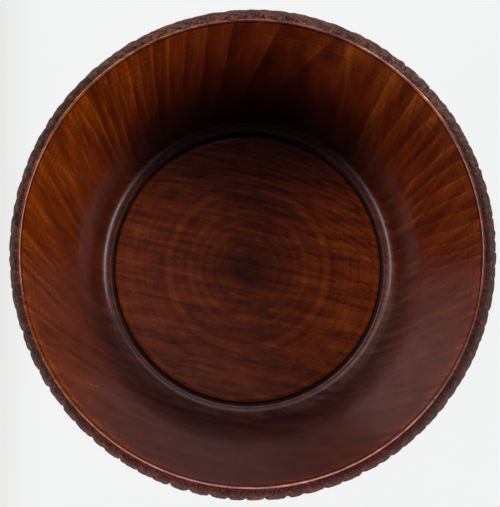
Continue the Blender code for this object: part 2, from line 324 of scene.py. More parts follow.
def stitch(fine: int, coarse: int, columns: int, fine_first: bool) -> np.ndarray:
    """Three-sided faces that join a ring to one with three times its points, four faces to a coarse step.

    Args:
        fine: index of the first point of the ring with three times the points.
        coarse: index of the first point of the other ring.
        columns: points in the coarse ring.
        fine_first: whether the outline comes to the fine ring first.

    Returns:
        An array of faces by three point indices.
    """
    k = np.arange(columns)
    a = [fine + (3 * k + i) % (3 * columns) for i in range(4)]
    b = [coarse + k, coarse + (k + 1) % columns]
    faces = [(a[0], a[1], b[0]), (a[1], b[1], b[0]), (a[1], a[2], b[1]), (a[2], a[3], b[1])]
    stacked = np.concatenate([np.stack(face, axis=1) for face in faces])
    return stacked if fine_first else stacked[:, ::-1]


def capped(points: np.ndarray, low: float, high: float, columns: int) -> tuple[np.ndarray, list[np.ndarray]]:
    """Closes turned rings with a point on the axis at each end of their outline.

    Args:
        points: the rings' points, one ring after the other.
        low: height of the point before the first ring.
        high: height of the point after the last ring.
        columns: points in a ring.

    Returns:
        All the points, and three groups of faces: round the first end, along the rings, round the last end.
    """
    last = 1 + len(points) - columns
    closed = np.concatenate([[[0, 0, low]], points, [[0, 0, high]]])
    rings = strip(1, len(points) // columns, columns)
    return closed, [fan(0, 1, columns, True), rings, fan(len(closed) - 1, last, columns, False)]


def make_piece(
    name: str,
    points: np.ndarray,
    faces: list[tuple[np.ndarray, int]],
    materials: list[Material],
    values: dict[str, np.ndarray] | None = None,
    sharp: float = 50,
) -> Object:
    """Makes a finished piece at the origin from whole arrays.

    Args:
        name: the piece's name.
        points: its points, in metres, where they stand in the chalice.
        faces: groups of faces with three or four point indices each, and the material that a group wears.
        materials: the piece's materials.
        values: named numbers, one to a point, that its materials read.
        sharp: angle in degrees past which two faces meet in a shaded edge.

    Returns:
        The new object.
    """
    mesh = bpy.data.meshes.new(name)
    mesh.vertices.add(len(points))
    mesh.vertices.foreach_set("co", points.astype(np.float32).ravel())
    sizes = np.concatenate([np.full(len(group), group.shape[1]) for group, _ in faces])
    worn = np.concatenate([np.full(len(group), index) for group, index in faces])
    corners = np.concatenate([group.ravel() for group, _ in faces])
    mesh.loops.add(len(corners))
    mesh.loops.foreach_set("vertex_index", corners.astype(np.int32))
    mesh.polygons.add(len(sizes))
    mesh.polygons.foreach_set("loop_start", np.concatenate([[0], np.cumsum(sizes)[:-1]]).astype(np.int32))
    mesh.update(calc_edges=True)
    for material in materials:
        mesh.materials.append(material)
    mesh.polygons.foreach_set("material_index", worn.astype(np.int32))
    for label, numbers in (values or {}).items():
        held = mesh.attributes.new(label, "FLOAT", "POINT")
        held.data.foreach_set("value", numbers.astype(np.float32).ravel())
    mesh.validate()
    mesh.shade_smooth()
    mesh.set_sharp_from_angle(angle=math.radians(sharp))
    piece = bpy.data.objects.new(name, mesh)
    bpy.context.scene.collection.objects.link(piece)
    return piece


def stand_in_for(piece: Object, node: str) -> None:
    """Puts a finished piece in place of its plain solid, riding with the chalice.

    Args:
        piece: the finished piece.
        node: the solid that it replaces.
    """
    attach(piece, "root")
    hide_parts(node)
    log.info("%s: %d triangles", piece.name, sum(len(face.vertices) - 2 for face in piece.data.polygons))


# ---- Bark carving ----


@dataclass(frozen=True)
class Stretch:
    """A part of the way round where the gouge strokes are alike. Angles are degrees from +X towards +Y."""

    start: float
    strokes: int
    drift: float  # how far a stroke leans sideways by its lower end, in degrees
    depth_share: float  # of the depth of the piece's deepest strokes


@dataclass(frozen=True)
class Carving:
    """Gouge strokes down the outside like the furrows of bark, with finer splits in the plates between."""

    stretches: tuple[Stretch, ...]
    depth: float
    seed: int
    jitter_share: float = 0.25  # of the distance to the next stroke
    width_shares: tuple[float, float] = (0.24, 0.44)  # of the room that the jitter leaves, least and most
    depth_shares: tuple[float, float] = (0.55, 1.0)  # of the stretch's depth, least and most
    ridge_shares: tuple[float, float] = (0.0, 0.2)  # of the stretch's depth, least and most
    notch_power: float = 1.4  # 2 would be a round-bottomed notch, 1 a plain V
    dark_share: float = 0.38  # of the deepest strokes' depth, at which a furrow's dark colour, partly painted shade, is full
    drift_length: float = 8 * MM  # a stroke has drifted two thirds of the way after this much height
    crown: float = 0.08 * MM  # how far the plates fall away from their middle to the strokes beside them
    wander: float = 0.9  # degrees that a stroke strays from a straight run
    wander_cells: tuple[int, int] = (60, 10)  # cells of noise around and along
    run_levels: tuple[float, float] = (0.8, 0.35)  # a stroke's mean depth along its run, and how it varies
    run_cells: tuple[int, int] = (90, 7)
    split_depth: float = 0.18 * MM
    split_cells: tuple[int, int] = (170, 14)
    patch_cells: tuple[int, int] = (40, 6)  # patches with more splits and with fewer
    grain_depth: float = 0.11 * MM
    grain_cells: tuple[int, int] = (420, 60)

    def ends(self) -> list[float]:
        """Where each stretch ends, in degrees: at the next one's start."""
        return [stretch.start for stretch in self.stretches[1:]] + [self.stretches[0].start + 360]

    def knots(self) -> tuple[np.ndarray, np.ndarray]:
        """Depth of the cuts round the top of the carving.

        Between its two ridges a stroke is a notch: the ridge depth plus one less a power of the place across,
        times the depth left. From one stroke to the next the plate is crowned, and falls away from its middle
        with the square of the distance.

        Returns:
            Angles in degrees in rising order, and the depth in metres at each.
        """
        chance = random.Random(self.seed)
        rows = []
        for stretch, end in zip(self.stretches, self.ends()):
            pitch = (end - stretch.start) / stretch.strokes
            for i in range(stretch.strokes):
                middle = stretch.start + pitch * (i + 0.5 + self.jitter_share * (chance.random() - 0.5))
                half_width = pitch * (1 - self.jitter_share) / 2 * chance.uniform(*self.width_shares)
                limits = (self.ridge_shares, self.depth_shares, self.ridge_shares)
                depths = [self.depth * stretch.depth_share * chance.uniform(*limit) for limit in limits]
                rows.append((middle, half_width, *depths))
        middle, half_width, left, bottom, right = (column[:, None] for column in np.array(rows).T)
        across = np.linspace(-1, 1, 9)
        ridge = self.crown + left + (right - left) * (across + 1) / 2
        left_over = bottom - self.crown / 2 - (left + right) / 2
        notch = ridge + left_over * (1 - np.abs(across) ** self.notch_power)
        share = np.linspace(0, 1, 9)[1:-1]
        start, end = middle + half_width, np.roll(middle - half_width, -1, axis=0)
        end[-1] += 360
        plate = right + (np.roll(left, -1, axis=0) - right) * share + self.crown * (2 * share - 1) ** 2
        angles = np.concatenate([middle + half_width * across, start + (end - start) * share], axis=1)
        return angles.ravel(), np.concatenate([notch, plate], axis=1).ravel()

    def drift(self, angle: np.ndarray) -> np.ndarray:
        """How far a stroke at this angle drifts, in degrees, eased from one stretch's middle to the next.

        Args:
            angle: angles in degrees.

        Returns:
            The drift at each of them.
        """
        middles = np.array([(s.start + end) / 2 for s, end in zip(self.stretches, self.ends())])
        drifts = np.array([s.drift for s in self.stretches])
        middles, drifts = np.append(middles, middles[0] + 360), np.append(drifts, drifts[0])
        angle = middles[0] + np.mod(angle - middles[0], 360)
        i = np.clip(np.searchsorted(middles, angle, side="right") - 1, 0, len(middles) - 2)
        share = (angle - middles[i]) / (middles[i + 1] - middles[i])
        return drifts[i] + (drifts[i + 1] - drifts[i]) * eased(share)

    def cut(self, angle: np.ndarray, drop: np.ndarray, reach: float) -> tuple[np.ndarray, np.ndarray]:
        """How deep the wood is cut at points of the surface, before it fades at the carving's edges.

        A point is first led back along its stroke to the top of the carving, against the drift and the
        wander. The strokes' depth there is thinned and deepened along the run by slow noise. Splits are
        narrow ridges of noise, where it passes zero, stretched down the piece, and the grain is fine noise.

        Args:
            angle: angle of each point, in radians.
            drop: how far each point is below the top of the carving.
            reach: height of the carving.

        Returns:
            The depth in metres, and how far into a stroke each point is, from 0 on a plate to 1.
        """
        turn, down = np.degrees(angle), np.maximum(drop, 0) / reach
        around = turn / 360
        turn = turn - self.drift(turn) * (1 - np.exp(-np.maximum(drop, 0) / self.drift_length))
        stray = lattice_noise(around, down, self.wander_cells, self.seed + 20)
        turn = turn + self.wander * eased(down * 6) * stray
        angles, depths = self.knots()
        strokes = np.interp(turn, angles, depths, period=360)
        around = turn / 360
        mean, change = self.run_levels
        strokes = strokes * (mean + change * lattice_noise(around, down, self.run_cells, self.seed + 21))
        split = 1 - np.abs(lattice_noise(around, down, self.split_cells, self.seed + 22))
        patchy = 0.5 + 0.5 * lattice_noise(around, down, self.patch_cells, self.seed + 23)
        splits = self.split_depth * split**7 * patchy
        grain = self.grain_depth * lattice_noise(around, down, self.grain_cells, self.seed + 24)
        furrow = (strokes - self.crown) / (self.dark_share * self.depth - self.crown)
        furrow = furrow + 0.4 * split**9 * patchy
        return strokes + splits + grain, np.clip(furrow, 0, 1)


# ---- Timber and finishes ----


class Polish(Enum):
    """How far a surface was finished. The value is the roughness of its reflection."""

    RAW = 0.8
    CARVED = 0.72
    SATIN = 0.4
    SEMI_GLOSS = 0.12


@dataclass(frozen=True)
class Grain:
    """How far each feature of the wood moves its tone."""

    rings: float
    fibres: float
    figure: float
    layers: float
    flecks: float


@dataclass(frozen=True)
class Timber:
    """A block of beech that a piece was cut from: where its pith ran, and how wide its growth rings are.

    Ring number is the distance to the pith over the pitch, less heart_rings times one minus the exponential
    of the distance over heart_reach, so that the rings near the pith are wider. Slow noise makes them wavy.
    """

    pith: tuple[float, float, float]  # a point of the pith line
    lean: tuple[float, float]  # how far the line moves along X and Y for one unit up
    ring_pitch: float = 1.22 * MM
    heart_rings: float = 18.6
    heart_reach: float = 25 * MM
    ring_shift: float = 0.48  # in rings
    waviness: float = 0.7 * MM
    wave_length: float = 24 * MM
    fibre_width: float = 0.42 * MM
    fibre_length: float = 7 * MM
    figure_width: float = 3.2 * MM
    figure_length: float = 34 * MM
    fleck_width: float = 0.55 * MM
    fleck_length: float = 2.6 * MM
    layer_size: tuple[float, float, float] = (16 * MM, 1.3 * MM, 34 * MM)  # along, across and up
    layer_turn: float = -12  # degrees from +X, the way the layers run
    calm_share: float = 0.2  # of the rings' strength that is left inside the calm heart
    calm_reach: tuple[float, float] = (62 * MM, 82 * MM)  # over which the rings come back to full strength
    ring_stops: tuple[tuple[float, float], ...] = (  # share of a ring going outwards, and its tone there
        (0, 0.2), (0.06, 0.1), (0.4, 0.28), (0.8, 0.55), (0.9, 0.8), (0.95, 0.9), (0.975, 0.7), (1, 0.2),
    )
    ring_mean: float = 0.45  # the rings' middle tone

    def along_grain(self, tree: Tree) -> Socket:
        """Object coordinates turned and moved so that the pith is the Z axis.

        Args:
            tree: the material's node tree.

        Returns:
            The coordinates.
        """
        pith = Vector((*self.lean, 1)).normalized()
        turn = pith.rotation_difference(Vector((0, 0, 1))).to_matrix()
        shift = -(turn @ Vector(self.pith))
        spot = add(tree, "ShaderNodeTexCoord").outputs["Object"]
        inputs = {"Vector": spot, "Location": shift, "Rotation": turn.to_euler()}
        return add(tree, "ShaderNodeMapping", inputs, vector_type="POINT").outputs["Vector"]

    def noise(self, tree: Tree, spot: Socket, width: float, length: float, detail: float) -> Socket:
        """Noise drawn out along the grain, from 0 to 1.

        Args:
            tree: the material's node tree.
            spot: coordinates with the pith as their Z axis.
            width: size of a feature across the grain.
            length: its size along the grain.
            detail: octaves of finer noise.

        Returns:
            The noise's output.
        """
        scaled = {0: spot, 1: (1 / width, 1 / width, 1 / length)}
        stretched = add(tree, "ShaderNodeVectorMath", scaled, operation="MULTIPLY").outputs[0]
        inputs = {"Vector": stretched, "Scale": 1.0, "Detail": detail}
        return add(tree, "ShaderNodeTexNoise", inputs).outputs[0]

    def ring_tone(self, tree: Tree, spot: Socket) -> Socket:
        """Tone of the growth rings, from 0 to 1.

        Going outwards each ring starts dark, grows paler, and ends in a thin pale line. Some rings are
        stronger, and all are faint in the heart of the log.

        Args:
            tree: the material's node tree.
            spot: coordinates with the pith as their Z axis.

        Returns:
            The tone.
        """
        flat = add(tree, "ShaderNodeVectorMath", {0: spot, 1: (1, 1, 0)}, operation="MULTIPLY").outputs[0]
        distance = add(tree, "ShaderNodeVectorMath", {0: flat}, operation="LENGTH").outputs["Value"]
        wave = self.noise(tree, spot, self.wave_length, self.wave_length * 8, 2.0)
        sway = add(tree, "ShaderNodeMath", {0: wave, 1: 0.5}, operation="SUBTRACT").outputs[0]
        inputs = {0: sway, 1: 4 * self.waviness, 2: distance}  # most of the noise is within a quarter of 0
        distance = add(tree, "ShaderNodeMath", inputs, operation="MULTIPLY_ADD").outputs[0]
        inputs = {0: distance, 1: -1 / self.heart_reach}
        fall = add(tree, "ShaderNodeMath", inputs, operation="MULTIPLY").outputs[0]
        fall = add(tree, "ShaderNodeMath", {0: fall}, operation="EXPONENT").outputs[0]
        inputs = {0: distance, 1: 1 / self.ring_pitch, 2: self.ring_shift - self.heart_rings}
        count = add(tree, "ShaderNodeMath", inputs, operation="MULTIPLY_ADD").outputs[0]
        inputs = {0: fall, 1: self.heart_rings, 2: count}
        count = add(tree, "ShaderNodeMath", inputs, operation="MULTIPLY_ADD").outputs[0]
        phase = add(tree, "ShaderNodeMath", {0: count}, operation="FRACT").outputs[0]
        ramp = add(tree, "ShaderNodeValToRGB", {"Fac": phase})
        tone = set_stops(ramp, [(place, grey(level)) for place, level in self.ring_stops])
        number = add(tree, "ShaderNodeMath", {0: count}, operation="FLOOR").outputs[0]
        chance = add(tree, "ShaderNodeTexWhiteNoise", {"W": number}, noise_dimensions="1D").outputs["Value"]
        inputs = {"Value": chance, "To Min": 0.35, "To Max": 1.0}
        strength = add(tree, "ShaderNodeMapRange", inputs).outputs[0]
        start, end = self.calm_reach
        inputs = {"Value": distance, "From Min": start, "From Max": end, "To Min": self.calm_share}
        clear = add(tree, "ShaderNodeMapRange", inputs, interpolation_type="SMOOTHSTEP").outputs[0]
        strength = add(tree, "ShaderNodeMath", {0: strength, 1: clear}, operation="MULTIPLY").outputs[0]
        middle = add(tree, "ShaderNodeMath", {0: tone, 1: self.ring_mean}, operation="SUBTRACT").outputs[0]
        inputs = {0: middle, 1: strength, 2: self.ring_mean}
        return add(tree, "ShaderNodeMath", inputs, operation="MULTIPLY_ADD").outputs[0]

    def layered(self, tree: Tree, spot: Socket) -> Socket:
        """Noise in upright sheets, from 0 to 1, where a layer of wood took more or less stain.

        Args:
            tree: the material's node tree.
            spot: coordinates with the pith as their Z axis.

        Returns:
            The noise's output.
        """
        turn = (0, 0, math.radians(self.layer_turn))
        inputs = {"Vector": spot, "Rotation": turn, "Scale": self.layer_size}
        sheets = add(tree, "ShaderNodeMapping", inputs, vector_type="TEXTURE").outputs["Vector"]
        inputs = {"Vector": sheets, "Scale": 1.0, "Detail": 3.0, "Distortion": 0.4}
        return add(tree, "ShaderNodeTexNoise", inputs).outputs[0]

    def tone(self, tree: Tree, grain: Grain) -> tuple[Socket, Socket]:
        """How dark the raw wood takes the stain: a weighted sum of the features of its grain.

        Args:
            tree: the material's node tree.
            grain: the weights.

        Returns:
            The tone, about 0.5 on average, and the fibres alone for the bump.
        """
        spot = self.along_grain(tree)
        fibres = self.noise(tree, spot, self.fibre_width, self.fibre_length, 3.0)
        layers = (
            (self.ring_tone(tree, spot), grain.rings),
            (fibres, grain.fibres),
            (self.noise(tree, spot, self.figure_width, self.figure_length, 3.0), grain.figure),
            (self.layered(tree, spot), grain.layers),
            (self.noise(tree, spot, self.fleck_width, self.fleck_length, 1.0), grain.flecks),
        )
        total = 0.5
        for layer, weight in layers:
            centred = add(tree, "ShaderNodeMath", {0: layer, 1: 0.5}, operation="SUBTRACT").outputs[0]
            inputs = {0: centred, 1: weight, 2: total}
            total = add(tree, "ShaderNodeMath", inputs, operation="MULTIPLY_ADD").outputs[0]
        return total, fibres


def new_material(name: str) -> tuple[Material, Tree, Node]:
    """Starts a material.

    Args:
        name: the material's name.

    Returns:
        The material, its node tree and its surface shader.
    """
    material = bpy.data.materials.new(name)
    material.use_nodes = True
    return material, material.node_tree, material.node_tree.nodes["Principled BSDF"]


def from_axis(tree: Tree, spot: Socket) -> tuple[Socket, Socket, Socket]:
    """Where a point is as a turner sees it.

    Args:
        tree: the material's node tree.
        spot: the point's coordinates.

    Returns:
        Its place with no height, its distance from the turning axis, and its height.
    """
    flat = add(tree, "ShaderNodeVectorMath", {0: spot, 1: (1, 1, 0)}, operation="MULTIPLY").outputs[0]
    distance = add(tree, "ShaderNodeVectorMath", {0: flat}, operation="LENGTH").outputs["Value"]
    return flat, distance, add(tree, "ShaderNodeSeparateXYZ", {0: spot}).outputs["Z"]


def between(tree: Tree, value: Socket, stops: tuple[float, float, float, float]) -> Socket:
    """A smooth step from 0 to 1 over the first two stops, times one back to 0 over the last two.

    Args:
        tree: the material's node tree.
        value: what is asked about.
        stops: where it starts, is full, starts to fade, and has gone.

    Returns:
        The product, from 0 to 1.
    """
    inputs = {"Value": value, "From Min": stops[0], "From Max": stops[1]}
    rise = add(tree, "ShaderNodeMapRange", inputs, interpolation_type="SMOOTHSTEP").outputs[0]
    inputs = {"Value": value, "From Min": stops[2], "From Max": stops[3], "To Min": 1.0, "To Max": 0.0}
    fall = add(tree, "ShaderNodeMapRange", inputs, interpolation_type="SMOOTHSTEP").outputs[0]
    return add(tree, "ShaderNodeMath", {0: rise, 1: fall}, operation="MULTIPLY").outputs[0]


@dataclass(frozen=True)
class Zone:
    """Part of a turned face where the stain gathered or was rubbed thin, or where light, shade or a reflection
    is painted into the colour.
    """

    radii: tuple[float, float, float, float]  # it starts, is full, starts to fade, and has gone
    heights: tuple[float, float, float, float]
    tint: tuple[float, float, float]  # what the zone leaves of the colour's red, green and blue
    toward: float = 0  # degrees from +X towards +Y
    spread: float = 180  # degrees to each side
    ragged: float = 0  # how far the zone's edge strays
    dull: float = 0  # what the zone adds to the roughness

    def lay(self, tree: Tree, colour: Socket, roughness: Socket) -> tuple[Socket, Socket]:
        """Multiplies the colour inside the zone by its tint, and dulls the lacquer there.

        The zone is a smooth window of the distance from the axis, times one of the height, times one of the
        cosine of the angle to the zone's middle. Noise moves the point that is asked about.

        Args:
            tree: the material's node tree.
            colour: the colour under even stain.
            roughness: the roughness of even lacquer.

        Returns:
            The colour and the roughness with the zone laid over them.
        """
        spot = add(tree, "ShaderNodeTexCoord").outputs["Object"]
        if self.ragged:
            # The noise's features are about three times as wide as it makes the edge stray.
            inputs = {"Vector": spot, "Scale": 0.35 / self.ragged, "Detail": 3.0, "Roughness": 0.7}
            stray = add(tree, "ShaderNodeTexNoise", inputs).outputs["Color"]
            inputs = {0: stray, 1: (0.5,) * 3}
            stray = add(tree, "ShaderNodeVectorMath", inputs, operation="SUBTRACT").outputs[0]
            inputs = {0: stray, 1: (4 * self.ragged,) * 3, 2: spot}
            spot = add(tree, "ShaderNodeVectorMath", inputs, operation="MULTIPLY_ADD").outputs[0]
        flat, distance, height = from_axis(tree, spot)
        inputs = {0: between(tree, distance, self.radii), 1: between(tree, height, self.heights)}
        share = add(tree, "ShaderNodeMath", inputs, operation="MULTIPLY").outputs[0]
        if self.spread < 180:
            turn, edge = math.radians(self.toward), math.cos(math.radians(self.spread))
            flat = add(tree, "ShaderNodeVectorMath", {0: flat}, operation="NORMALIZE").outputs[0]
            inputs = {0: flat, 1: (math.cos(turn), math.sin(turn), 0)}
            facing = add(tree, "ShaderNodeVectorMath", inputs, operation="DOT_PRODUCT").outputs["Value"]
            inputs = {"Value": facing, "From Min": edge, "From Max": 1 - (1 - edge) / 3}
            inside = add(tree, "ShaderNodeMapRange", inputs, interpolation_type="SMOOTHSTEP").outputs[0]
            share = add(tree, "ShaderNodeMath", {0: share, 1: inside}, operation="MULTIPLY").outputs[0]
        inputs = {0: share, 6: colour, 7: (*self.tint, 1.0)}
        colour = add(tree, "ShaderNodeMix", inputs, data_type="RGBA", blend_type="MULTIPLY").outputs[2]
        if self.dull:
            inputs = {0: share, 1: self.dull, 2: roughness}
            roughness = add(tree, "ShaderNodeMath", inputs, operation="MULTIPLY_ADD").outputs[0]
        return colour, roughness


def finish_wood(
    tree: Tree,
    shader: Node,
    colour: Socket,
    dullness: tuple[Socket, float, float],
    reliefs: list[tuple[Socket, float]],
    zones: tuple[Zone, ...] = (),
) -> None:
    """Gives a wood's shader its colour, its roughness and its bumps.

    Args:
        tree: the material's node tree.
        shader: its surface shader.
        colour: the colour under even stain.
        dullness: what moves the roughness, from 0 to 1, and the roughness at each end.
        reliefs: bumps laid one over the other, each from 0 to 1, and how tall it is in metres.
        zones: where the stain is uneven, and where light and shade are painted.
    """
    normal = {}
    for height, tall in reliefs:
        inputs = {"Height": height, "Distance": tall, "Strength": 1.0, **normal}
        normal = {"Normal": add(tree, "ShaderNodeBump", inputs).outputs[0]}
    value, low, high = dullness
    inputs = {"Value": value, "To Min": low, "To Max": high}
    roughness = add(tree, "ShaderNodeMapRange", inputs).outputs[0]
    for zone in zones:
        colour, roughness = zone.lay(tree, colour, roughness)
    plug(tree, shader, {"Base Color": colour, "Roughness": roughness, **normal})


@dataclass(frozen=True)
class LacqueredBeech:
    """Stained beech under clear lacquer, turned and sanded.

    The eye gets deep red-brown wood with growth rings and short dark fibres below a soft even gloss, which
    fine rings left by the turning tool break up.
    """

    name: str
    timber: Timber
    stops: tuple[tuple[float, str], ...]  # tone of the raw wood, and the colour that the stain gives it
    grain: Grain = Grain(rings=0.55, fibres=0.5, figure=0.5, layers=0.2, flecks=0.25)
    polish: Polish = Polish.SEMI_GLOSS
    tool_pitch: float = 1.7 * MM  # between the rings that the tool leaves
    tool_depth: float = 0.004 * MM
    tool_stain: float = 0.22  # how far the tool's rings move the tone
    faced_below: float = -1.0  # the height below which they are stronger, as on a floor
    faced_gain: float = 1.4
    fibre_relief: float = 0.0015 * MM
    zones: tuple[Zone, ...] = ()

    def dress(self) -> Material:
        """Makes the material.

        Tool rings are noise of the distance from the axis plus the height, so they run round every face.

        Returns:
            The material.
        """
        material, tree, shader = new_material(self.name)
        _, distance, height = from_axis(tree, add(tree, "ShaderNodeTexCoord").outputs["Object"])
        walked = add(tree, "ShaderNodeMath", {0: distance, 1: height}, operation="ADD").outputs[0]
        inputs = {0: walked, 1: 1 / self.tool_pitch}
        walked = add(tree, "ShaderNodeMath", inputs, operation="MULTIPLY").outputs[0]
        inputs = {"W": walked, "Scale": 1.0, "Detail": 3.0}
        rings = add(tree, "ShaderNodeTexNoise", inputs, noise_dimensions="1D").outputs[0]
        tone, fibres = self.timber.tone(tree, self.grain)
        centred = add(tree, "ShaderNodeMath", {0: rings, 1: 0.5}, operation="SUBTRACT").outputs[0]
        inputs = {
            "Value": height,
            "From Min": self.faced_below,
            "From Max": self.faced_below + 2 * MM,
            "To Min": self.faced_gain * self.tool_stain,
            "To Max": self.tool_stain,
        }
        weight = add(tree, "ShaderNodeMapRange", inputs).outputs[0]
        inputs = {0: centred, 1: weight, 2: tone}
        tone = add(tree, "ShaderNodeMath", inputs, operation="MULTIPLY_ADD").outputs[0]
        ramp = add(tree, "ShaderNodeValToRGB", {"Fac": tone})
        colour = set_stops(ramp, [(place, linear(value)) for place, value in self.stops])
        dullness = (fibres, self.polish.value - 0.03, self.polish.value + 0.03)
        reliefs = [(rings, self.tool_depth), (fibres, self.fibre_relief)]
        finish_wood(tree, shader, colour, dullness, reliefs, self.zones)
        plug(tree, shader, {"IOR": 1.5})
        return material


@dataclass(frozen=True)
class CarvedBark:
    """Beech carved with a gouge, stained dark and left matt.

    The eye gets mauve-brown plates with a fine crumbly grain, dark furrows, which are partly painted shade,
    and redder wood on the furrows' edges, where the stain has rubbed thin.
    """

    name: str
    timber: Timber
    plate: tuple[tuple[float, str], ...] = ((0.25, "160907"), (0.5, "3b211c"), (0.75, "66413a"))
    edge: str = "8a4526"
    furrow: str = "1c0c08"
    grain_size: float = 0.5 * MM
    grain_relief: float = 0.16 * MM
    zones: tuple[Zone, ...] = ()

    def dress(self) -> Material:
        """Makes the material, which reads how far into a stroke it is from the mesh.

        Returns:
            The material.
        """
        material, tree, shader = new_material(self.name)
        grain = Grain(rings=0.2, fibres=0.9, figure=0.4, layers=0.2, flecks=0.7)
        tone, fibres = self.timber.tone(tree, grain)
        ramp = add(tree, "ShaderNodeValToRGB", {"Fac": tone})
        plate = set_stops(ramp, [(place, linear(value)) for place, value in self.plate])
        cut = add(tree, "ShaderNodeAttribute", attribute_name="cut").outputs["Fac"]
        ramp = add(tree, "ShaderNodeValToRGB", {"Fac": cut})
        on_edge = set_stops(ramp, [(0.02, grey(0)), (0.1, grey(0.45)), (0.4, grey(0.35)), (0.8, grey(0))])
        # Partly painted shade: darker deep in the furrows and splits.
        ramp = add(tree, "ShaderNodeValToRGB", {"Fac": cut})
        furrow_shade = set_stops(ramp, [(0.2, grey(0)), (0.6, grey(0.8))])
        inputs = {0: on_edge, 6: plate, 7: linear(self.edge)}
        colour = add(tree, "ShaderNodeMix", inputs, data_type="RGBA").outputs[2]
        inputs = {0: furrow_shade, 6: colour, 7: linear(self.furrow)}
        colour = add(tree, "ShaderNodeMix", inputs, data_type="RGBA").outputs[2]
        spot = add(tree, "ShaderNodeTexCoord").outputs["Object"]
        inputs = {"Vector": spot, "Scale": 1 / self.grain_size, "Detail": 3.0, "Roughness": 0.6}
        crumbs = add(tree, "ShaderNodeTexNoise", inputs).outputs[0]
        dullness = (crumbs, Polish.CARVED.value - 0.1, Polish.CARVED.value + 0.1)
        reliefs = [(crumbs, self.grain_relief), (fibres, self.grain_relief)]
        finish_wood(tree, shader, colour, dullness, reliefs, self.zones)
        plug(tree, shader, {"Specular IOR Level": 0.15})
        return material


@dataclass(frozen=True)
class RawBeech:
    """Unfinished beech, as the lathe left it under the glue.

    The eye gets pale pinkish straw wood, dry and dull, with short darker flecks.
    """

    name: str
    timber: Timber
    stops: tuple[tuple[float, str], ...] = ((0.2, "a5805a"), (0.5, "c9a67c"), (0.8, "dfc39c"))
    fibre_relief: float = 0.02 * MM

    def dress(self) -> Material:
        """Makes the material.

        Returns:
            The material.
        """
        material, tree, shader = new_material(self.name)
        grain = Grain(rings=0.35, fibres=0.5, figure=0.3, layers=0, flecks=0.35)
        tone, fibres = self.timber.tone(tree, grain)
        ramp = add(tree, "ShaderNodeValToRGB", {"Fac": tone})
        colour = set_stops(ramp, [(place, linear(value)) for place, value in self.stops])
        dullness = (fibres, Polish.RAW.value - 0.08, Polish.RAW.value + 0.08)
        finish_wood(tree, shader, colour, dullness, [(fibres, self.fibre_relief)])
        return material


@dataclass(frozen=True)
class WoolFelt:
    """Pressed wool felt, dyed dark red.

    The eye gets a soft dull surface with matted fibres and a faint pale bloom at a low angle.
    """

    name: str
    dark: str = "351318"
    light: str = "57242a"
    fibre_width: float = 0.25 * MM
    fibre_relief: float = 0.12 * MM
    clump: float = 2.5 * MM

    def dress(self) -> Material:
        """Makes the material: fibres are noise bent by a slower noise, so that they curl.

        Returns:
            The material.
        """
        material, tree, shader = new_material(self.name)
        spot = add(tree, "ShaderNodeTexCoord").outputs["Object"]
        inputs = {"Vector": spot, "Scale": 1 / self.fibre_width, "Detail": 3.0, "Distortion": 2.0}
        fibres = add(tree, "ShaderNodeTexNoise", inputs).outputs[0]
        inputs = {"Vector": spot, "Scale": 1 / self.clump, "Detail": 2.0}
        clumps = add(tree, "ShaderNodeTexNoise", inputs).outputs[0]
        both = add(tree, "ShaderNodeMath", {0: fibres, 1: clumps}, operation="MULTIPLY").outputs[0]
        ramp = add(tree, "ShaderNodeValToRGB", {"Fac": both})
        colour = set_stops(ramp, [(0.12, linear(self.dark)), (0.45, linear(self.light))])
        inputs = {"Height": fibres, "Distance": self.fibre_relief, "Strength": 1.0}
        bump = add(tree, "ShaderNodeBump", inputs).outputs[0]
        plug(tree, shader, {"Base Color": colour, "Roughness": 0.95, "Normal": bump})
        plug(tree, shader, {"Sheen Weight": 0.4, "Sheen Roughness": 0.5})
        return material


# ---- The cup ----

NO_START = (-1.0, -0.9)  # a zone's first two stops, where the zone has no start
NO_END = (1.0, 1.1)  # its last two, where it has no end
ANYWHERE = (*NO_START, *NO_END)

CUP_TIMBER = Timber(pith=(-16.0 * MM, -42.9 * MM, 173.6 * MM), lean=(0.027, 0.18), fibre_width=0.3 * MM,
                    fibre_length=13 * MM)
STEM_TIMBER = Timber(pith=(28 * MM, 19 * MM, 60 * MM), lean=(0.01, -0.02), heart_rings=0, ring_pitch=1.9 * MM)
FOOT_TIMBER = Timber(pith=(12 * MM, -61 * MM, 10 * MM), lean=(0.03, 0.02))
DOWEL_TIMBER = Timber(pith=(90 * MM, 40 * MM, 50 * MM), lean=(0, 0.01), heart_rings=0, ring_pitch=1.6 * MM)

BOWL_STOPS = ((0.1, "260803"), (0.35, "561c0c"), (0.55, "783010"), (0.8, "a04e18"), (1.0, "b06a28"))
BOWL_GRAIN = Grain(rings=0.4, fibres=0.3, figure=0.35, layers=0.65, flecks=0.15)
TURNED_STOPS = ((0.1, "2a0a06"), (0.4, "5a2211"), (0.65, "7c3919"), (0.95, "a3572b"))


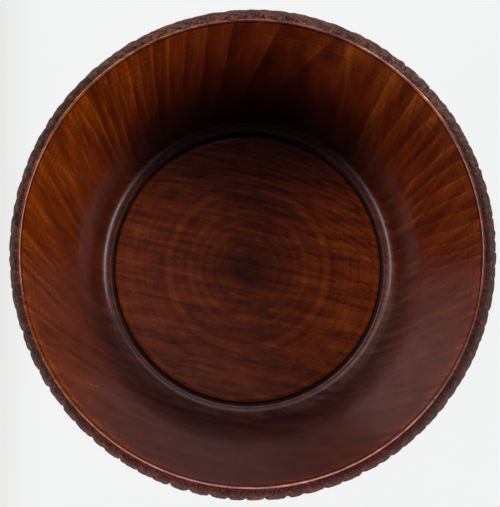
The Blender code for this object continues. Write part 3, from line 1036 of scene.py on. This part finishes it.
@dataclass
class Cup:
    """The cup: a straight-sided hollow with a filleted flat floor, in a belly carved like bark."""

    lip_radius: float = 44.8 * MM
    lip_width: float = 0.5 * MM
    lip_rounding: float = 0.3 * MM  # height over which the lip rolls in to the wall
    bowl_depth: float = 68 * MM
    floor_radius: float = 31 * MM
    floor_fillet: float = 3.5 * MM
    groove_width: float = 1.1 * MM
    groove_depth: float = 0.5 * MM
    floor_dish: float = 0.4 * MM
    height: float = 86 * MM
    belly_swell: float = 3.6 * MM
    belly_drop: float = 20 * MM
    seat_radius: float = 12.8 * MM
    roundness: float = 2.8
    socket_depth: float = 11.5 * MM
    socket_radius: float = 5.3 * MM
    lip_fade: float = 8 * MM  # strokes reach their depth this far below the lip towards -Y
    fade_shares: tuple[float, float] = (0.55, 0.45)  # of it on average, and how that changes round the lip
    seat_fade: float = 9 * MM  # and run out within this distance of the seat
    shrinkage: float = 0.004  # the wood dried a little narrower along X than along Y
    off_centre: tuple[float, float] = (0.35 * MM, 0.27 * MM)  # the carver's skin against the turner's hollow
    columns: int = 300  # round the hollow; the carved skin has three times as many
    belly_rows: int = 42
    shoulder_rows: int = 26
    carving: Carving = field(
        default_factory=lambda: Carving(
            stretches=(
                Stretch(0, 20, -3, 0.45),
                Stretch(60, 15, 14, 0.5),
                Stretch(120, 14, 3, 0.5),
                Stretch(180, 12, 1, 0.65),
                Stretch(240, 13, -2, 0.75),
                Stretch(300, 16, -1, 0.35),
            ),
            depth=1.1 * MM,
            seed=11,
        )
    )

    @property
    def base(self) -> float:
        """Height of the cup's underside."""
        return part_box("cup")[0][2]

    @property
    def belly_radius(self) -> float:
        """Radius of the widest ring, before it is carved."""
        return self.lip_radius + self.lip_width + self.belly_swell

    def hollow(self) -> np.ndarray:
        """Outline of the hollow from the lip to the floor's centre.

        The lip is a quarter ellipse that rolls inwards, the wall a straight line that touches the fillet, the
        groove one cosine wave across, and the floor a shallow parabola.

        Returns:
            The outline.
        """
        floor, top = self.height - self.bowl_depth, self.height
        across, up = self.lip_radius - self.floor_radius, self.bowl_depth - self.floor_fillet
        touch = math.atan2(up, across) - math.acos(self.floor_fillet / math.hypot(across, up))
        centre = (self.floor_radius, floor + self.floor_fillet)
        lip = arc((self.lip_radius + self.lip_width, top - self.lip_rounding),
                  (self.lip_width, self.lip_rounding), 90, 180, 6)
        fillet = arc(centre, (self.floor_fillet, self.floor_fillet), math.degrees(touch), -90, 16)
        wall = run(tuple(lip[-1]), tuple(fillet[0]), 18)
        share = np.linspace(0, 1, 11)[1:]
        sunk = self.groove_depth * (1 - np.cos(share * math.tau)) / 2
        groove = np.stack([self.floor_radius - self.groove_width * share, floor - sunk], axis=1)
        radius = np.linspace(groove[-1, 0], 0, 31)[1:]
        dish = floor - self.floor_dish * (1 - (radius / groove[-1, 0]) ** 2)
        return joined(lip[1:], wall, fillet, groove, np.stack([radius, dish], axis=1))

    def skin(self) -> np.ndarray:
        """Outline of the outside from the seat's edge to the lip: a superellipse, then a quarter ellipse.

        Returns:
            The outline, in even steps.
        """
        power = 2 / self.roundness
        end = math.acos((self.seat_radius / self.belly_radius) ** (1 / power))
        turn = np.linspace(end, 0, 400)
        risen = 1 - (np.sin(turn) / math.sin(end)) ** power
        drop = self.height - self.belly_drop
        belly = np.stack([self.belly_radius * np.cos(turn) ** power, drop * risen], axis=1)
        lip = self.lip_radius + self.lip_width
        shoulder = arc((lip, drop), (self.belly_radius - lip, self.belly_drop), 0, 90, 200)
        return joined(spaced(belly, self.belly_rows), spaced(shoulder, self.shoulder_rows))

    def stain_and_painted_light(self) -> tuple[Zone, ...]:
        """Where the hollow's colour differs from even stain: uneven stain, and painted light, shade and
        reflections, in its corner, on wall and floor, and along its lip.

        Returns:
            The zones, laid in this order.
        """
        floor, top = self.base + self.height - self.bowl_depth, self.base + self.height
        edge, lip = self.floor_radius, self.lip_radius
        on_floor = (*NO_START, floor + 1 * MM, floor + 2 * MM)
        on_lip = ((lip, lip + 0.2 * MM, *NO_END), (top - 0.2 * MM, top - 0.1 * MM, *NO_END))
        return (
            # The fillet and the low wall: a little darker and duller, and towards -Y a painted grey
            # reflection.
            Zone((edge - 0.1 * MM, edge + 0.2 * MM, *NO_END),
                 (*NO_START, floor + 4 * MM, floor + 22 * MM), (0.85, 0.8, 0.8), dull=0.14),
            Zone((edge + 2.4 * MM, edge + 3.4 * MM, *NO_END),
                 (*NO_START, floor + 8 * MM, floor + 30 * MM), (1.0, 1.0, 1.0), dull=0.3),
            # Painted reflection: the grey veil on the fillet and low wall towards -Y.
            Zone((edge + 0.8 * MM, edge + 1.6 * MM, *NO_END),
                 (*NO_START, floor + 3 * MM, floor + 26 * MM), (1.0, 3.0, 12.0), toward=275, spread=95),
            # The groove, dark partly from stain that ran together and partly as painted shade, the smudge at
            # the centre, and the floor as a whole.
            # Partly painted shade: the groove's dark line.
            Zone((edge - 1.2 * MM, edge - 0.9 * MM, edge - 0.3 * MM, edge), ANYWHERE,
                 (0.12, 0.12, 0.16), dull=0.5),
            Zone((*NO_START, 1.5 * MM, 9 * MM), ANYWHERE, (0.55, 0.55, 0.7), ragged=1.2 * MM),
            Zone((*NO_START, edge - 1.5 * MM, edge - 0.8 * MM), ANYWHERE, (1.3, 1.35, 1.25)),
            # The dark line under the lip.
            Zone((lip - 3 * MM, lip - 2 * MM, *NO_END),
                 (top - 1.6 * MM, top - 1 * MM, top - 0.2 * MM, top - 0.1 * MM),
                 (0.45, 0.4, 0.45), ragged=0.2 * MM),
            # Painted light: the wall and the floor towards -X are paler and more golden. Also the wall under
            # the lip between +X and +Y.
            Zone((edge + 1 * MM, edge + 5 * MM, *NO_END), (top - 58 * MM, top - 8 * MM, *NO_END),
                 (1.45, 1.6, 0.5), toward=174, spread=75),
            Zone((2 * MM, 9 * MM, edge - 1 * MM, edge), on_floor,
                 (1.4, 1.45, 1.2), toward=195, spread=100, ragged=1 * MM),
            Zone((lip - 5 * MM, lip, *NO_END), (top - 26 * MM, top, *NO_END),
                 (1.35, 1.7, 1.6), toward=36, spread=45, ragged=2 * MM),
            # Painted shade on the wall and the floor's edge towards +Y, and painted light on the floor towards
            # +X.
            # Painted shade: the low wall and the floor's edge towards +Y.
            Zone((edge - 0.5 * MM, edge, *NO_END), (*NO_START, floor + 8 * MM, floor + 60 * MM),
                 (0.25, 0.2, 0.5), toward=88, spread=62, ragged=2.5 * MM),
            Zone((19 * MM, edge - 1 * MM, *NO_END), on_floor,
                 (0.55, 0.5, 0.6), toward=88, spread=70, ragged=1 * MM),
            # Painted light: the floor towards +X.
            Zone((4 * MM, 18 * MM, *NO_END), on_floor,
                 (1.35, 1.4, 0.9), toward=-14, spread=75, ragged=1 * MM),
            # The lip's outer edge: partly worn pale, partly a painted highlight; the lip towards -Y with a
            # painted highlight, and towards +Y with painted shade.
            # Painted highlight over some wear: the pale glint along the lip's outer edge.
            Zone((lip + 0.32 * MM, lip + 0.4 * MM, *NO_END),
                 (top - 0.1 * MM, top - 0.03 * MM, *NO_END), (2.0, 6.3, 24.0), dull=0.1),
            Zone(*on_lip, (1.5, 1.5, 1.7), toward=282, spread=50),
            Zone(*on_lip, (0.6, 0.5, 0.5), toward=92, spread=40),
            # The golden line inside the lip towards -Y, and one bare patch on the lip.
            Zone((lip - 2 * MM, lip - 1 * MM, *NO_END),
                 (top - 6 * MM, top - 2 * MM, top - 0.8 * MM, top - 0.3 * MM),
                 (1.7, 1.8, 0.8), toward=270, spread=100, ragged=0.6 * MM),
            Zone((lip, lip + 0.2 * MM, *NO_END), (top - 1 * MM, top - 0.3 * MM, *NO_END),
                 (1.7, 1.5, 1.35), toward=40, spread=8.5, ragged=0.3 * MM),
        )

    def skin_tone_and_painted_light(self) -> tuple[Zone, ...]:
        """The bark's colour by side: redder towards -Y, with painted shade towards +X and painted light
        towards +Y.

        Returns:
            The zones, laid in this order.
        """
        return (
            Zone(ANYWHERE, ANYWHERE, (1.35, 0.62, 0.5), toward=-95, spread=55, ragged=3 * MM),
            # Painted shade towards +X, then painted light towards +Y.
            Zone(ANYWHERE, ANYWHERE, (0.75, 0.42, 0.35), toward=-28, spread=55, ragged=3 * MM),
            Zone(ANYWHERE, ANYWHERE, (2.0, 2.3, 2.4), toward=82, spread=62, ragged=3 * MM),
        )

    def seat(self) -> np.ndarray:
        """Outline of the underside from the socket's centre to the seat's edge.

        Returns:
            The outline.
        """
        corner, mouth = (self.socket_radius, self.socket_depth), (self.socket_radius, 0.0)
        ceiling = run((0, self.socket_depth), corner, 3)
        return joined(ceiling, run(corner, mouth, 4), run(mouth, (self.seat_radius, 0.0), 4))

    def carved(self) -> tuple[np.ndarray, np.ndarray]:
        """The skin with the bark cut into it.

        Radius is the outline's less the carving's depth, times a smooth step that fades it in below the lip,
        over a longer way towards -Y than towards +Y, times one that fades it out above the seat, times the
        share of the widest radius, because strokes get smaller as the cup narrows.

        Returns:
            The points, and how far into a stroke each one is.
        """
        angle, radius, height = ring_grid(self.skin(), 3 * self.columns)
        depth, cut = self.carving.cut(angle, self.height - height, self.height)
        mean, change = self.fade_shares
        below = (self.height - height) / (self.lip_fade * (mean - change * np.sin(angle)))
        from_seat = eased((radius - self.seat_radius) / self.seat_fade)
        fade = eased(below) * from_seat * radius / self.belly_radius
        points = placed(angle, radius - depth * fade, height)
        aside = eased((self.height - height) / (0.4 * self.belly_drop)) * from_seat
        return points + aside.reshape(-1, 1) * (*self.off_centre, 0), (cut * fade).ravel()

    def build(self) -> Object:
        """Makes the cup: seat, carved skin and hollow, stitched into one closed surface.

        Returns:
            The cup.
        """
        seat, hollow = self.seat(), self.hollow()
        seat_points = placed(*ring_grid(seat[1:-1], self.columns))
        hollow_points = placed(*ring_grid(hollow[:-1], self.columns))
        skin_points, cut = self.carved()
        pole_up = np.array([[0, 0, seat[0, 1]]])
        pole_floor = np.array([[0, 0, hollow[-1, 1]]])
        points = np.concatenate([pole_up, seat_points, skin_points, hollow_points, pole_floor])
        points = points * (1 - self.shrinkage, 1 + self.shrinkage, 1) + (0, 0, self.base)
        seat_rows, hollow_rows = len(seat) - 2, len(hollow) - 1
        skin_rows = self.belly_rows + self.shoulder_rows + 1
        skin_start = 1 + seat_rows * self.columns
        hollow_start = skin_start + skin_rows * 3 * self.columns
        last_seat, last_skin = skin_start - self.columns, hollow_start - 3 * self.columns
        last_hollow = hollow_start + (hollow_rows - 1) * self.columns
        faces = [
            (fan(0, 1, self.columns, True), 2),
            (strip(1, seat_rows, self.columns), 2),
            (stitch(skin_start, last_seat, self.columns, False), 2),
            (strip(skin_start, skin_rows, 3 * self.columns), 1),
            (stitch(last_skin, hollow_start, self.columns, True), 0),
            (strip(hollow_start, hollow_rows, self.columns), 0),
            (fan(len(points) - 1, last_hollow, self.columns, False), 0),
        ]
        values = np.concatenate([np.zeros(skin_start), cut, np.zeros(len(points) - hollow_start)])
        floor = self.base + self.height - self.bowl_depth
        materials = [
            LacqueredBeech("lacquered_beech_bowl", CUP_TIMBER, BOWL_STOPS, BOWL_GRAIN,
                           faced_below=floor + 0.2 * MM, zones=self.stain_and_painted_light()).dress(),
            CarvedBark("carved_beech_bark", CUP_TIMBER, zones=self.skin_tone_and_painted_light()).dress(),
            RawBeech("raw_beech_cup_seat", CUP_TIMBER).dress(),
        ]
        cup = make_piece("turned_cup", points, faces, materials, {"cut": values})
        stand_in_for(cup, "cup")
        return cup


# ---- The stem ----


@dataclass
class Stem:
    """Five bored pieces threaded on a dowel: a collar at each end, two spools and the knop between them."""

    collar_height: float = 4.5 * MM
    collar_radius: float = 14.2 * MM
    collar_flat: float = 0.6 * MM
    knop_height: float = 20 * MM
    knop_radius: float = 15.5 * MM
    line_offset: float = 2.8 * MM
    line_width: float = 1.0 * MM
    line_depth: float = 0.6 * MM
    knop_end_angle: float = 63
    end_radius: float = 11.2 * MM
    waist_radius: float = 8.6 * MM
    fillet_height: float = 1.6 * MM
    bore_radius: float = 5.3 * MM
    dowel_radius: float = 5.0 * MM
    dowel_chamfer: float = 1.0 * MM
    flute_count: int = 8
    flute_depth: float = 0.4 * MM
    broken_edge: float = 0.3 * MM
    columns: int = 216

    def collar(self) -> np.ndarray:
        """A half-round bead between two flats, from its lower to its upper face.

        Returns:
            The outline.
        """
        height = self.collar_height
        bead = (height - 2 * self.collar_flat) / 2
        neck = self.collar_radius - bead
        return joined(run((neck, 0), (neck, self.collar_flat), 1),
                      arc((neck, height / 2), (bead, bead), -90, 90, 24),
                      run((neck, height - self.collar_flat), (neck, height), 1))

    def spool(self, height: float) -> np.ndarray:
        """A short band at each end and a half ellipse hollowed out between them.

        Args:
            height: the spool's height.

        Returns:
            The outline.
        """
        hollow, half = self.end_radius - self.waist_radius, height / 2 - self.fillet_height
        return joined(run((self.end_radius, 0), (self.end_radius, self.fillet_height), 1),
                      arc((self.end_radius, height / 2), (hollow, half), 270, 90, 32),
                      run((self.end_radius, height - self.fillet_height), (self.end_radius, height), 1))

    def knop(self) -> np.ndarray:
        """A flattened ball, less two scribed lines that are each one cosine wave across.

        Returns:
            The outline.
        """
        end = math.radians(self.knop_end_angle)
        across = (self.knop_radius - self.end_radius) / (1 - math.cos(end))
        up = self.knop_height / 2 / math.sin(end)
        ball = arc((self.knop_radius - across, self.knop_height / 2), (across, up),
                   -self.knop_end_angle, self.knop_end_angle, 100)
        from_line = np.abs(np.abs(ball[:, 1] - self.knop_height / 2) - self.line_offset)
        across = np.clip(from_line / (self.line_width / 2), 0, 1)
        scribed = self.line_depth * (1 + np.cos(across * math.pi)) / 2
        return ball - np.stack([scribed, np.zeros(len(ball))], axis=1)

    def bored(self, outline: np.ndarray) -> np.ndarray:
        """Closes an outer outline with the wall of the bore, and breaks its edges."""
        bore = [(self.bore_radius, outline[-1, 1]), (self.bore_radius, outline[0, 1])]
        return eased_corners(np.concatenate([outline, bore]), self.broken_edge)

    def ring_piece(self, node: str, outline: np.ndarray, materials: list[Material]) -> Object:
        """Turns a bored piece and puts it where its node stands.

        Args:
            node: the node's name.
            outline: its outer outline, from its own lower face.
            materials: the outer finish and the raw wood of the bore.

        Returns:
            The new object.
        """
        closed = self.bored(outline) + (0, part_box(node)[0][2])
        points = placed(*ring_grid(closed, self.columns))
        faces = strip(0, len(closed), self.columns, closed=True)
        hidden = closed[:, 0] < self.bore_radius + 2 * self.broken_edge
        raw = np.repeat(hidden & np.roll(hidden, -1), self.columns)
        piece = make_piece(f"turned_{node}", points, [(faces[~raw], 0), (faces[raw], 1)], materials)
        stand_in_for(piece, node)
        return piece

    def dowel(self) -> Object:
        """Turns the dowel, with glue flutes: the radius less the flute depth times a narrow cosine wave.

        Returns:
            The dowel.
        """
        low, high = (corner[2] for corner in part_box("stem_dowel"))
        tip, side = self.dowel_radius - self.dowel_chamfer, self.dowel_radius
        start, end = low + self.dowel_chamfer, high - self.dowel_chamfer
        outline = joined(run((0, low), (tip, low), 3), run((tip, low), (side, start), 2),
                         run((side, start), (side, end), 24),
                         run((side, end), (tip, high), 2), run((tip, high), (0, high), 3))
        angle, radius, height = ring_grid(outline[1:-1], self.columns)
        wave = np.clip(np.cos(angle * self.flute_count), 0, 1) ** 2
        points = placed(angle, radius - self.flute_depth * wave * (radius > tip * 0.99), height)
        points, groups = capped(points, low, high, self.columns)
        faces = [(group, 0) for group in groups]
        piece = make_piece("fluted_dowel", points, faces, [RawBeech("raw_beech_dowel", DOWEL_TIMBER).dress()])
        stand_in_for(piece, "stem_dowel")
        return piece

    def build(self) -> list[Object]:
        """Makes the five pieces of the stem and the dowel inside them.

        Returns:
            The pieces from the foot upwards, and the dowel.
        """
        materials = [
            LacqueredBeech("lacquered_beech_stem", STEM_TIMBER, TURNED_STOPS, polish=Polish.SATIN).dress(),
            RawBeech("raw_beech_stem", STEM_TIMBER).dress(),
        ]
        outlines = {
            "lower_collar": self.collar(),
            "lower_stem": self.spool(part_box("lower_stem")[1][2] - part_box("lower_stem")[0][2]),
            "knop": self.knop(),
            "upper_stem": self.spool(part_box("upper_stem")[1][2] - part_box("upper_stem")[0][2]),
            "upper_collar": self.collar(),
        }
        pieces = [self.ring_piece(node, outline, materials) for node, outline in outlines.items()]
        return [*pieces, self.dowel()]


# ---- The foot ----


@dataclass
class Foot:
    """The foot: a seat for the stem, a cove that sweeps out to a bead, and a carved edge over a recess."""

    height: float = 17 * MM
    radius: float = 41 * MM
    edge_height: float = 6.5 * MM
    edge_rounding: float = 2.2 * MM
    seat_radius: float = 15 * MM
    glued_radius: float = 12 * MM  # the collar covers this much of the seat
    bead_radius: float = 1.5 * MM
    fillet_height: float = 1.6 * MM
    bore_radius: float = 5.3 * MM
    bore_depth: float = 11.5 * MM
    recess_radius: float = 34.3 * MM
    recess_height: float = 1.5 * MM
    broken_edge: float = 0.3 * MM
    columns: int = 720
    carving: Carving = field(
        default_factory=lambda: Carving(
            stretches=(Stretch(0, 13, 2, 0.8), Stretch(180, 15, -2, 1.0)),
            depth=0.9 * MM,
            seed=12,
            split_cells=(150, 2),
            grain_cells=(360, 8),
        )
    )

    def outline(self) -> tuple[np.ndarray, np.ndarray]:
        """The foot's outline and which finish each of its points belongs to.

        Returns:
            Points from the recess's centre round the outside to the bore's floor, and 0 for lacquered,
            1 for carved and 2 for raw wood.
        """
        bead = self.radius - self.edge_rounding - self.bead_radius
        reach = bead - self.bead_radius - self.seat_radius
        cove_base, cove_top = self.edge_height + self.bead_radius, self.height - self.fillet_height
        inner = (self.recess_radius, self.recess_height)
        low, side = (self.radius - self.edge_rounding / 3, 0.0), (self.radius, self.edge_height / 3)
        rounded = self.radius - self.edge_rounding, self.edge_height - self.edge_rounding
        floor = self.height - self.bore_depth
        parts = [
            (run((0, self.recess_height), inner, 8), 2),
            (run(inner, (self.recess_radius, 0.0), 3), 2),
            (run((self.recess_radius, 0.0), low, 5), 1),
            (run(low, side, 4), 1),
            (run(side, (self.radius, rounded[1]), 6), 1),
            (arc(rounded, (self.edge_rounding,) * 2, 0, 70, 8), 1),
            (arc((bead, self.edge_height + self.bead_radius / 3), (self.bead_radius,) * 2, 8, 155, 12), 0),
            (arc((self.seat_radius + reach, cove_top), (reach, cove_top - cove_base), 268, 180, 30), 0),
            (run((self.seat_radius, cove_top), (self.seat_radius, self.height), 3), 0),
            (run((self.seat_radius, self.height), (self.glued_radius, self.height), 2), 0),
            (run((self.glued_radius, self.height), (self.bore_radius, self.height), 3), 2),
            (run((self.bore_radius, self.height), (self.bore_radius, floor), 4), 2),
            (run((self.bore_radius, floor), (0, floor), 3), 2),
        ]
        points = np.concatenate([part for part, _ in parts])
        finish = np.concatenate([np.full(len(part), index) for part, index in parts])
        apart = np.concatenate([[True], np.hypot(*np.diff(points, axis=0).T) > 1e-7])
        return points[apart], finish[apart]

    def build(self) -> Object:
        """Makes the foot: the outline turned, with strokes cut into its edge and faded out below the bead.

        Returns:
            The foot.
        """
        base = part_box("foot")[0][2]
        outline, finish = self.outline()
        angle, radius, height = ring_grid(outline[1:-1], self.columns)
        depth, cut = self.carving.cut(angle, self.edge_height - height, self.edge_height)
        on_edge = radius > self.radius - self.edge_rounding
        fade = eased((self.edge_height - height) / self.edge_rounding) * on_edge * (height >= 0)
        points = placed(angle, radius - depth * fade, height + base)
        low, high = outline[[0, -1], 1] + base
        points, (under, sides, over) = capped(points, low, high, self.columns)
        worn = np.repeat(finish[2:-1], self.columns)
        groups = [(under, 2), *((sides[worn == index], index) for index in (0, 1, 2)), (over, 2)]
        materials = [
            LacqueredBeech("lacquered_beech_foot", FOOT_TIMBER, TURNED_STOPS, polish=Polish.SATIN).dress(),
            CarvedBark("carved_beech_foot_edge", FOOT_TIMBER).dress(),
            RawBeech("raw_beech_foot_recess", FOOT_TIMBER).dress(),
        ]
        values = np.concatenate([[0], (cut * fade).ravel(), [0]])
        foot = make_piece("turned_foot", points, groups, materials, {"cut": values})
        stand_in_for(foot, "foot")
        return foot


@dataclass
class FeltBase:
    """The felt disc in the foot's recess, cut by hand with shears."""

    radius: float = 34 * MM
    thickness: float = 2.0 * MM
    edge_rounding: float = 0.35 * MM
    snip: float = 0.12 * MM  # how far the shears strayed
    snip_cells: tuple[int, int] = (48, 1)
    nap: float = 0.05 * MM
    nap_cells: tuple[int, int] = (180, 40)
    columns: int = 360

    def build(self) -> Object:
        """Makes the disc: its edge strays by slow noise, and both its faces sink by fine noise of the nap.

        Returns:
            The felt disc.
        """
        rounding = self.edge_rounding
        inner = self.radius - self.snip - rounding
        outline = joined(
            run((0, 0), (inner, 0), 40),
            arc((inner, rounding), (rounding, rounding), -90, 0, 4),
            arc((inner, self.thickness - rounding), (rounding, rounding), 0, 90, 4),
            run((inner, self.thickness), (0, self.thickness), 40),
        )
        angle, radius, height = ring_grid(outline[1:-1], self.columns)
        around, out = angle / math.tau, radius / self.radius
        stray = self.snip * lattice_noise(around, out, self.snip_cells, 31) * eased((out - 0.9) * 10)
        sink = self.nap * (0.5 + 0.5 * lattice_noise(around, out, self.nap_cells, 32))
        points = placed(angle, radius + stray, height + sink * np.sign(self.thickness / 2 - height))
        points, groups = capped(points, 0, self.thickness, self.columns)
        faces = [(group, 0) for group in groups]
        felt = make_piece("felt_disc", points, faces, [WoolFelt("wool_felt").dress()])
        stand_in_for(felt, "base_felt")
        return felt


# ---- The studio ----


@dataclass(frozen=True)
class Softbox:
    """A soft light that fills a patch of the sky as seen from the bowl."""

    name: str
    azimuth: float  # degrees from +X towards +Y
    elevation: float  # degrees
    width: float  # degrees of the sky
    tall: float  # degrees of the sky
    radiance: float  # 1 is white
    colour: str = "ffffff"
    distance: float = 1.2

    def place(self, aim: Vector) -> Object:
        """Makes the lamp. Its power is its radiance times its area times pi.

        Args:
            aim: the point that it faces.

        Returns:
            The lamp.
        """
        turn, rise = math.radians(self.azimuth), math.radians(self.elevation)
        back = Vector((math.cos(turn) * math.cos(rise), math.sin(turn) * math.cos(rise), math.sin(rise)))
        lamp = bpy.data.lights.new(self.name, "AREA")
        lamp.shape = "RECTANGLE"
        lamp.size = 2 * self.distance * math.tan(math.radians(self.width / 2))
        lamp.size_y = 2 * self.distance * math.tan(math.radians(self.tall / 2))
        lamp.energy = self.radiance * lamp.size * lamp.size_y * math.pi
        lamp.color = linear(self.colour)[:3]
        box = bpy.data.objects.new(self.name, lamp)
        box.location = aim + back * self.distance
        box.rotation_euler = back.to_track_quat("Z", "Y").to_euler()
        box.visible_camera = False
        bpy.context.scene.collection.objects.link(box)
        return box


@dataclass
class Studio:
    """A pale board, a dim room with a pale horizon, soft lights, and a camera that looks into the bowl."""

    lip_height: float = 173.6 * MM
    camera_from_lip: tuple[float, float, float] = (-5.7 * MM, -21.5 * MM, 400 * MM)
    aim_at_lip: tuple[float, float] = (-0.37 * MM, -0.21 * MM)
    focal_length: float = 98.2  # for a 24 mm high sensor
    board_radius: float = 1.6
    wall_radius: float = 2.2
    wall_height: float = 0.7
    board_columns: int = 96
    board_white: float = 1.0
    board_share: float = 0.9  # of what the eye sees of the board that is plain white
    shade_edge: tuple[float, float] = (-76 * MM, -55 * MM)  # painted shade: the board is a little darker towards -X of this
    shade_colours: tuple[str, str] = ("e4e5e2", "f5f6f6")
    horizon: tuple[float, float] = (0.05, 0.25)  # share of the way up over which the room gets dim
    room_levels: tuple[float, float] = (0.4, 0.03)  # the room's white below it and above it
    softboxes: tuple[Softbox, ...] = (
        Softbox("east_window", -6, 42, width=28, tall=21, radiance=9.0, colour="fffafd"),
        Softbox("south_east_window", -38, 30, width=32, tall=22, radiance=3.0, colour="fffafd"),
        Softbox("west_window", 186, 42, width=28, tall=19, radiance=8.2, colour="f8f6ff"),
        Softbox("south_west_window", 214, 30, width=28, tall=22, radiance=3.0, colour="f8f6ff"),
        Softbox("north_west_window", 146, 59, width=22, tall=22, radiance=1.9, colour="f8f6ff"),
        Softbox("north_panel", 98, 66, width=46, tall=20, radiance=1.0, colour="f4f2ff"),
        Softbox("north_east_panel", 50, 65, width=34, tall=18, radiance=0.75, colour="f4f2ff"),
        Softbox("ceiling", 215, 87.6, width=7.5, tall=7, radiance=0.3),
    )

    def board(self) -> Object:
        """The board and the wall that it sweeps up into: a disc and a quarter wave, turned about the axis.

        Returns:
            The board.
        """
        flat = run((0, 0), (self.board_radius, 0), 24)
        quarter, out = np.linspace(0, math.pi / 2, 25), self.wall_radius - self.board_radius
        sweep = [self.board_radius + out * np.sin(quarter), self.wall_height * (1 - np.cos(quarter))]
        outline, columns = joined(flat, np.stack(sweep, axis=1)), self.board_columns
        points = np.concatenate([[[0, 0, 0]], placed(*ring_grid(outline[1:], columns))])
        rings = strip(1, len(outline) - 1, columns)
        faces = [(fan(0, 1, columns, True)[:, ::-1], 0), (rings[:, ::-1], 0)]
        board = make_piece("pale_board", points, faces, [self.board_material()], sharp=180)
        return board

    def board_material(self) -> Material:
        """Matt white laminate that shows white to the eye and in reflections, and keeps the chalice's shadow.

        Camera, glossy and transmission rays see mostly a plain white, and light still falls on the rest. From
        below the board is clear, so that the underside of the chalice can be looked at.

        Returns:
            The material.
        """
        material, tree, shader = new_material("white_laminate_board")
        shader.inputs["Base Color"].default_value = linear("e9eae8")
        shader.inputs["Roughness"].default_value = 0.7
        rays = add(tree, "ShaderNodeLightPath").outputs
        seen = rays["Is Camera Ray"]
        for name in ("Is Glossy Ray", "Is Transmission Ray"):
            seen = add(tree, "ShaderNodeMath", {0: seen, 1: rays[name]}, operation="MAXIMUM").outputs[0]
        share = add(tree, "ShaderNodeMath", {0: seen, 1: self.board_share}, operation="MULTIPLY").outputs[0]
        spot = add(tree, "ShaderNodeTexCoord").outputs["Object"]
        parts = add(tree, "ShaderNodeSeparateXYZ", {0: spot})
        # Painted shade: the white is a little darker towards -X.
        start, end = self.shade_edge
        inputs = {"Value": parts.outputs["X"], "From Min": start, "From Max": end}
        inside = add(tree, "ShaderNodeMapRange", inputs, interpolation_type="SMOOTHSTEP").outputs[0]
        ramp = add(tree, "ShaderNodeValToRGB", {"Fac": inside})
        white = set_stops(ramp, [(place, linear(colour)) for place, colour in enumerate(self.shade_colours)])
        glow = add(tree, "ShaderNodeEmission", {"Color": white, "Strength": self.board_white}).outputs[0]
        mixed = add(tree, "ShaderNodeMixShader", {0: share, 1: shader.outputs[0], 2: glow}).outputs[0]
        clear = add(tree, "ShaderNodeBsdfTransparent").outputs[0]
        behind = add(tree, "ShaderNodeNewGeometry").outputs["Backfacing"]
        out = add(tree, "ShaderNodeMixShader", {0: behind, 1: mixed, 2: clear}).outputs[0]
        tree.links.new(out, tree.nodes["Material Output"].inputs["Surface"])
        return material

    def room(self) -> None:
        """The world: a dim room, paler towards its horizon, with a white background to the eye."""
        world = bpy.data.worlds.new("studio_room")
        world.use_nodes = True
        bpy.context.scene.world = world
        tree = world.node_tree
        spot = add(tree, "ShaderNodeTexCoord").outputs["Generated"]
        rise = add(tree, "ShaderNodeSeparateXYZ", {0: spot}).outputs["Z"]
        start, end = self.horizon
        below, above = self.room_levels
        inputs = {"Value": rise, "From Min": start, "From Max": end, "To Min": below, "To Max": above}
        dim = add(tree, "ShaderNodeMapRange", inputs, interpolation_type="SMOOTHSTEP").outputs[0]
        rays = add(tree, "ShaderNodeLightPath").outputs
        seen = add(tree, "ShaderNodeMath", {0: rays["Is Camera Ray"], 1: rays["Is Transmission Ray"]},
                   operation="MAXIMUM").outputs[0]
        strength = add(tree, "ShaderNodeMath", {0: seen, 1: dim}, operation="MAXIMUM").outputs[0]
        plug(tree, tree.nodes["Background"], {"Strength": strength, "Color": linear(self.shade_colours[1])})

    def camera(self) -> Object:
        """The camera, above the bowl and a little towards its near side, with +Y up in the picture.

        Returns:
            The camera.
        """
        data = bpy.data.cameras.new("bowl_camera")
        data.sensor_fit = "VERTICAL"
        data.sensor_height = 24
        data.lens = self.focal_length
        data.clip_start = 0.01
        camera = bpy.data.objects.new("bowl_camera", data)
        place = Vector(self.camera_from_lip) + Vector((0, 0, self.lip_height))
        back = (place - Vector((*self.aim_at_lip, self.lip_height))).normalized()
        right = Vector((0, 1, 0)).cross(back).normalized()
        upward = back.cross(right)
        camera.matrix_world = Matrix.Translation(place) @ Matrix((right, upward, back)).transposed().to_4x4()
        bpy.context.scene.collection.objects.link(camera)
        bpy.context.scene.camera = camera
        return camera

    def build(self) -> None:
        """Sets up the board, the room, the lights and the camera."""
        self.board()
        self.room()
        for softbox in self.softboxes:
            softbox.place(Vector((0, 0, self.lip_height)))
        self.camera()
        bpy.context.scene.view_settings.view_transform = "Standard"


def corners(box: tuple) -> list[list[float]]:
    """A box's lowest and highest corner as plain lists."""
    return [[float(value) for value in corner] for corner in box]


def main() -> None:
    """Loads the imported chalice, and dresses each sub-assembly and reports it."""
    logging.basicConfig(level=logging.INFO, format="%(name)s: %(message)s")
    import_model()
    for part in (FeltBase(), Foot(), Stem(), Cup()):
        made = part.build()
        names = [piece.name for piece in (made if isinstance(made, list) else [made])]
        log.info("%s made: %s", type(part).__name__, ", ".join(names))
    Studio().build()
    bpy.context.view_layer.update()


if __name__ == "__main__":
    main()
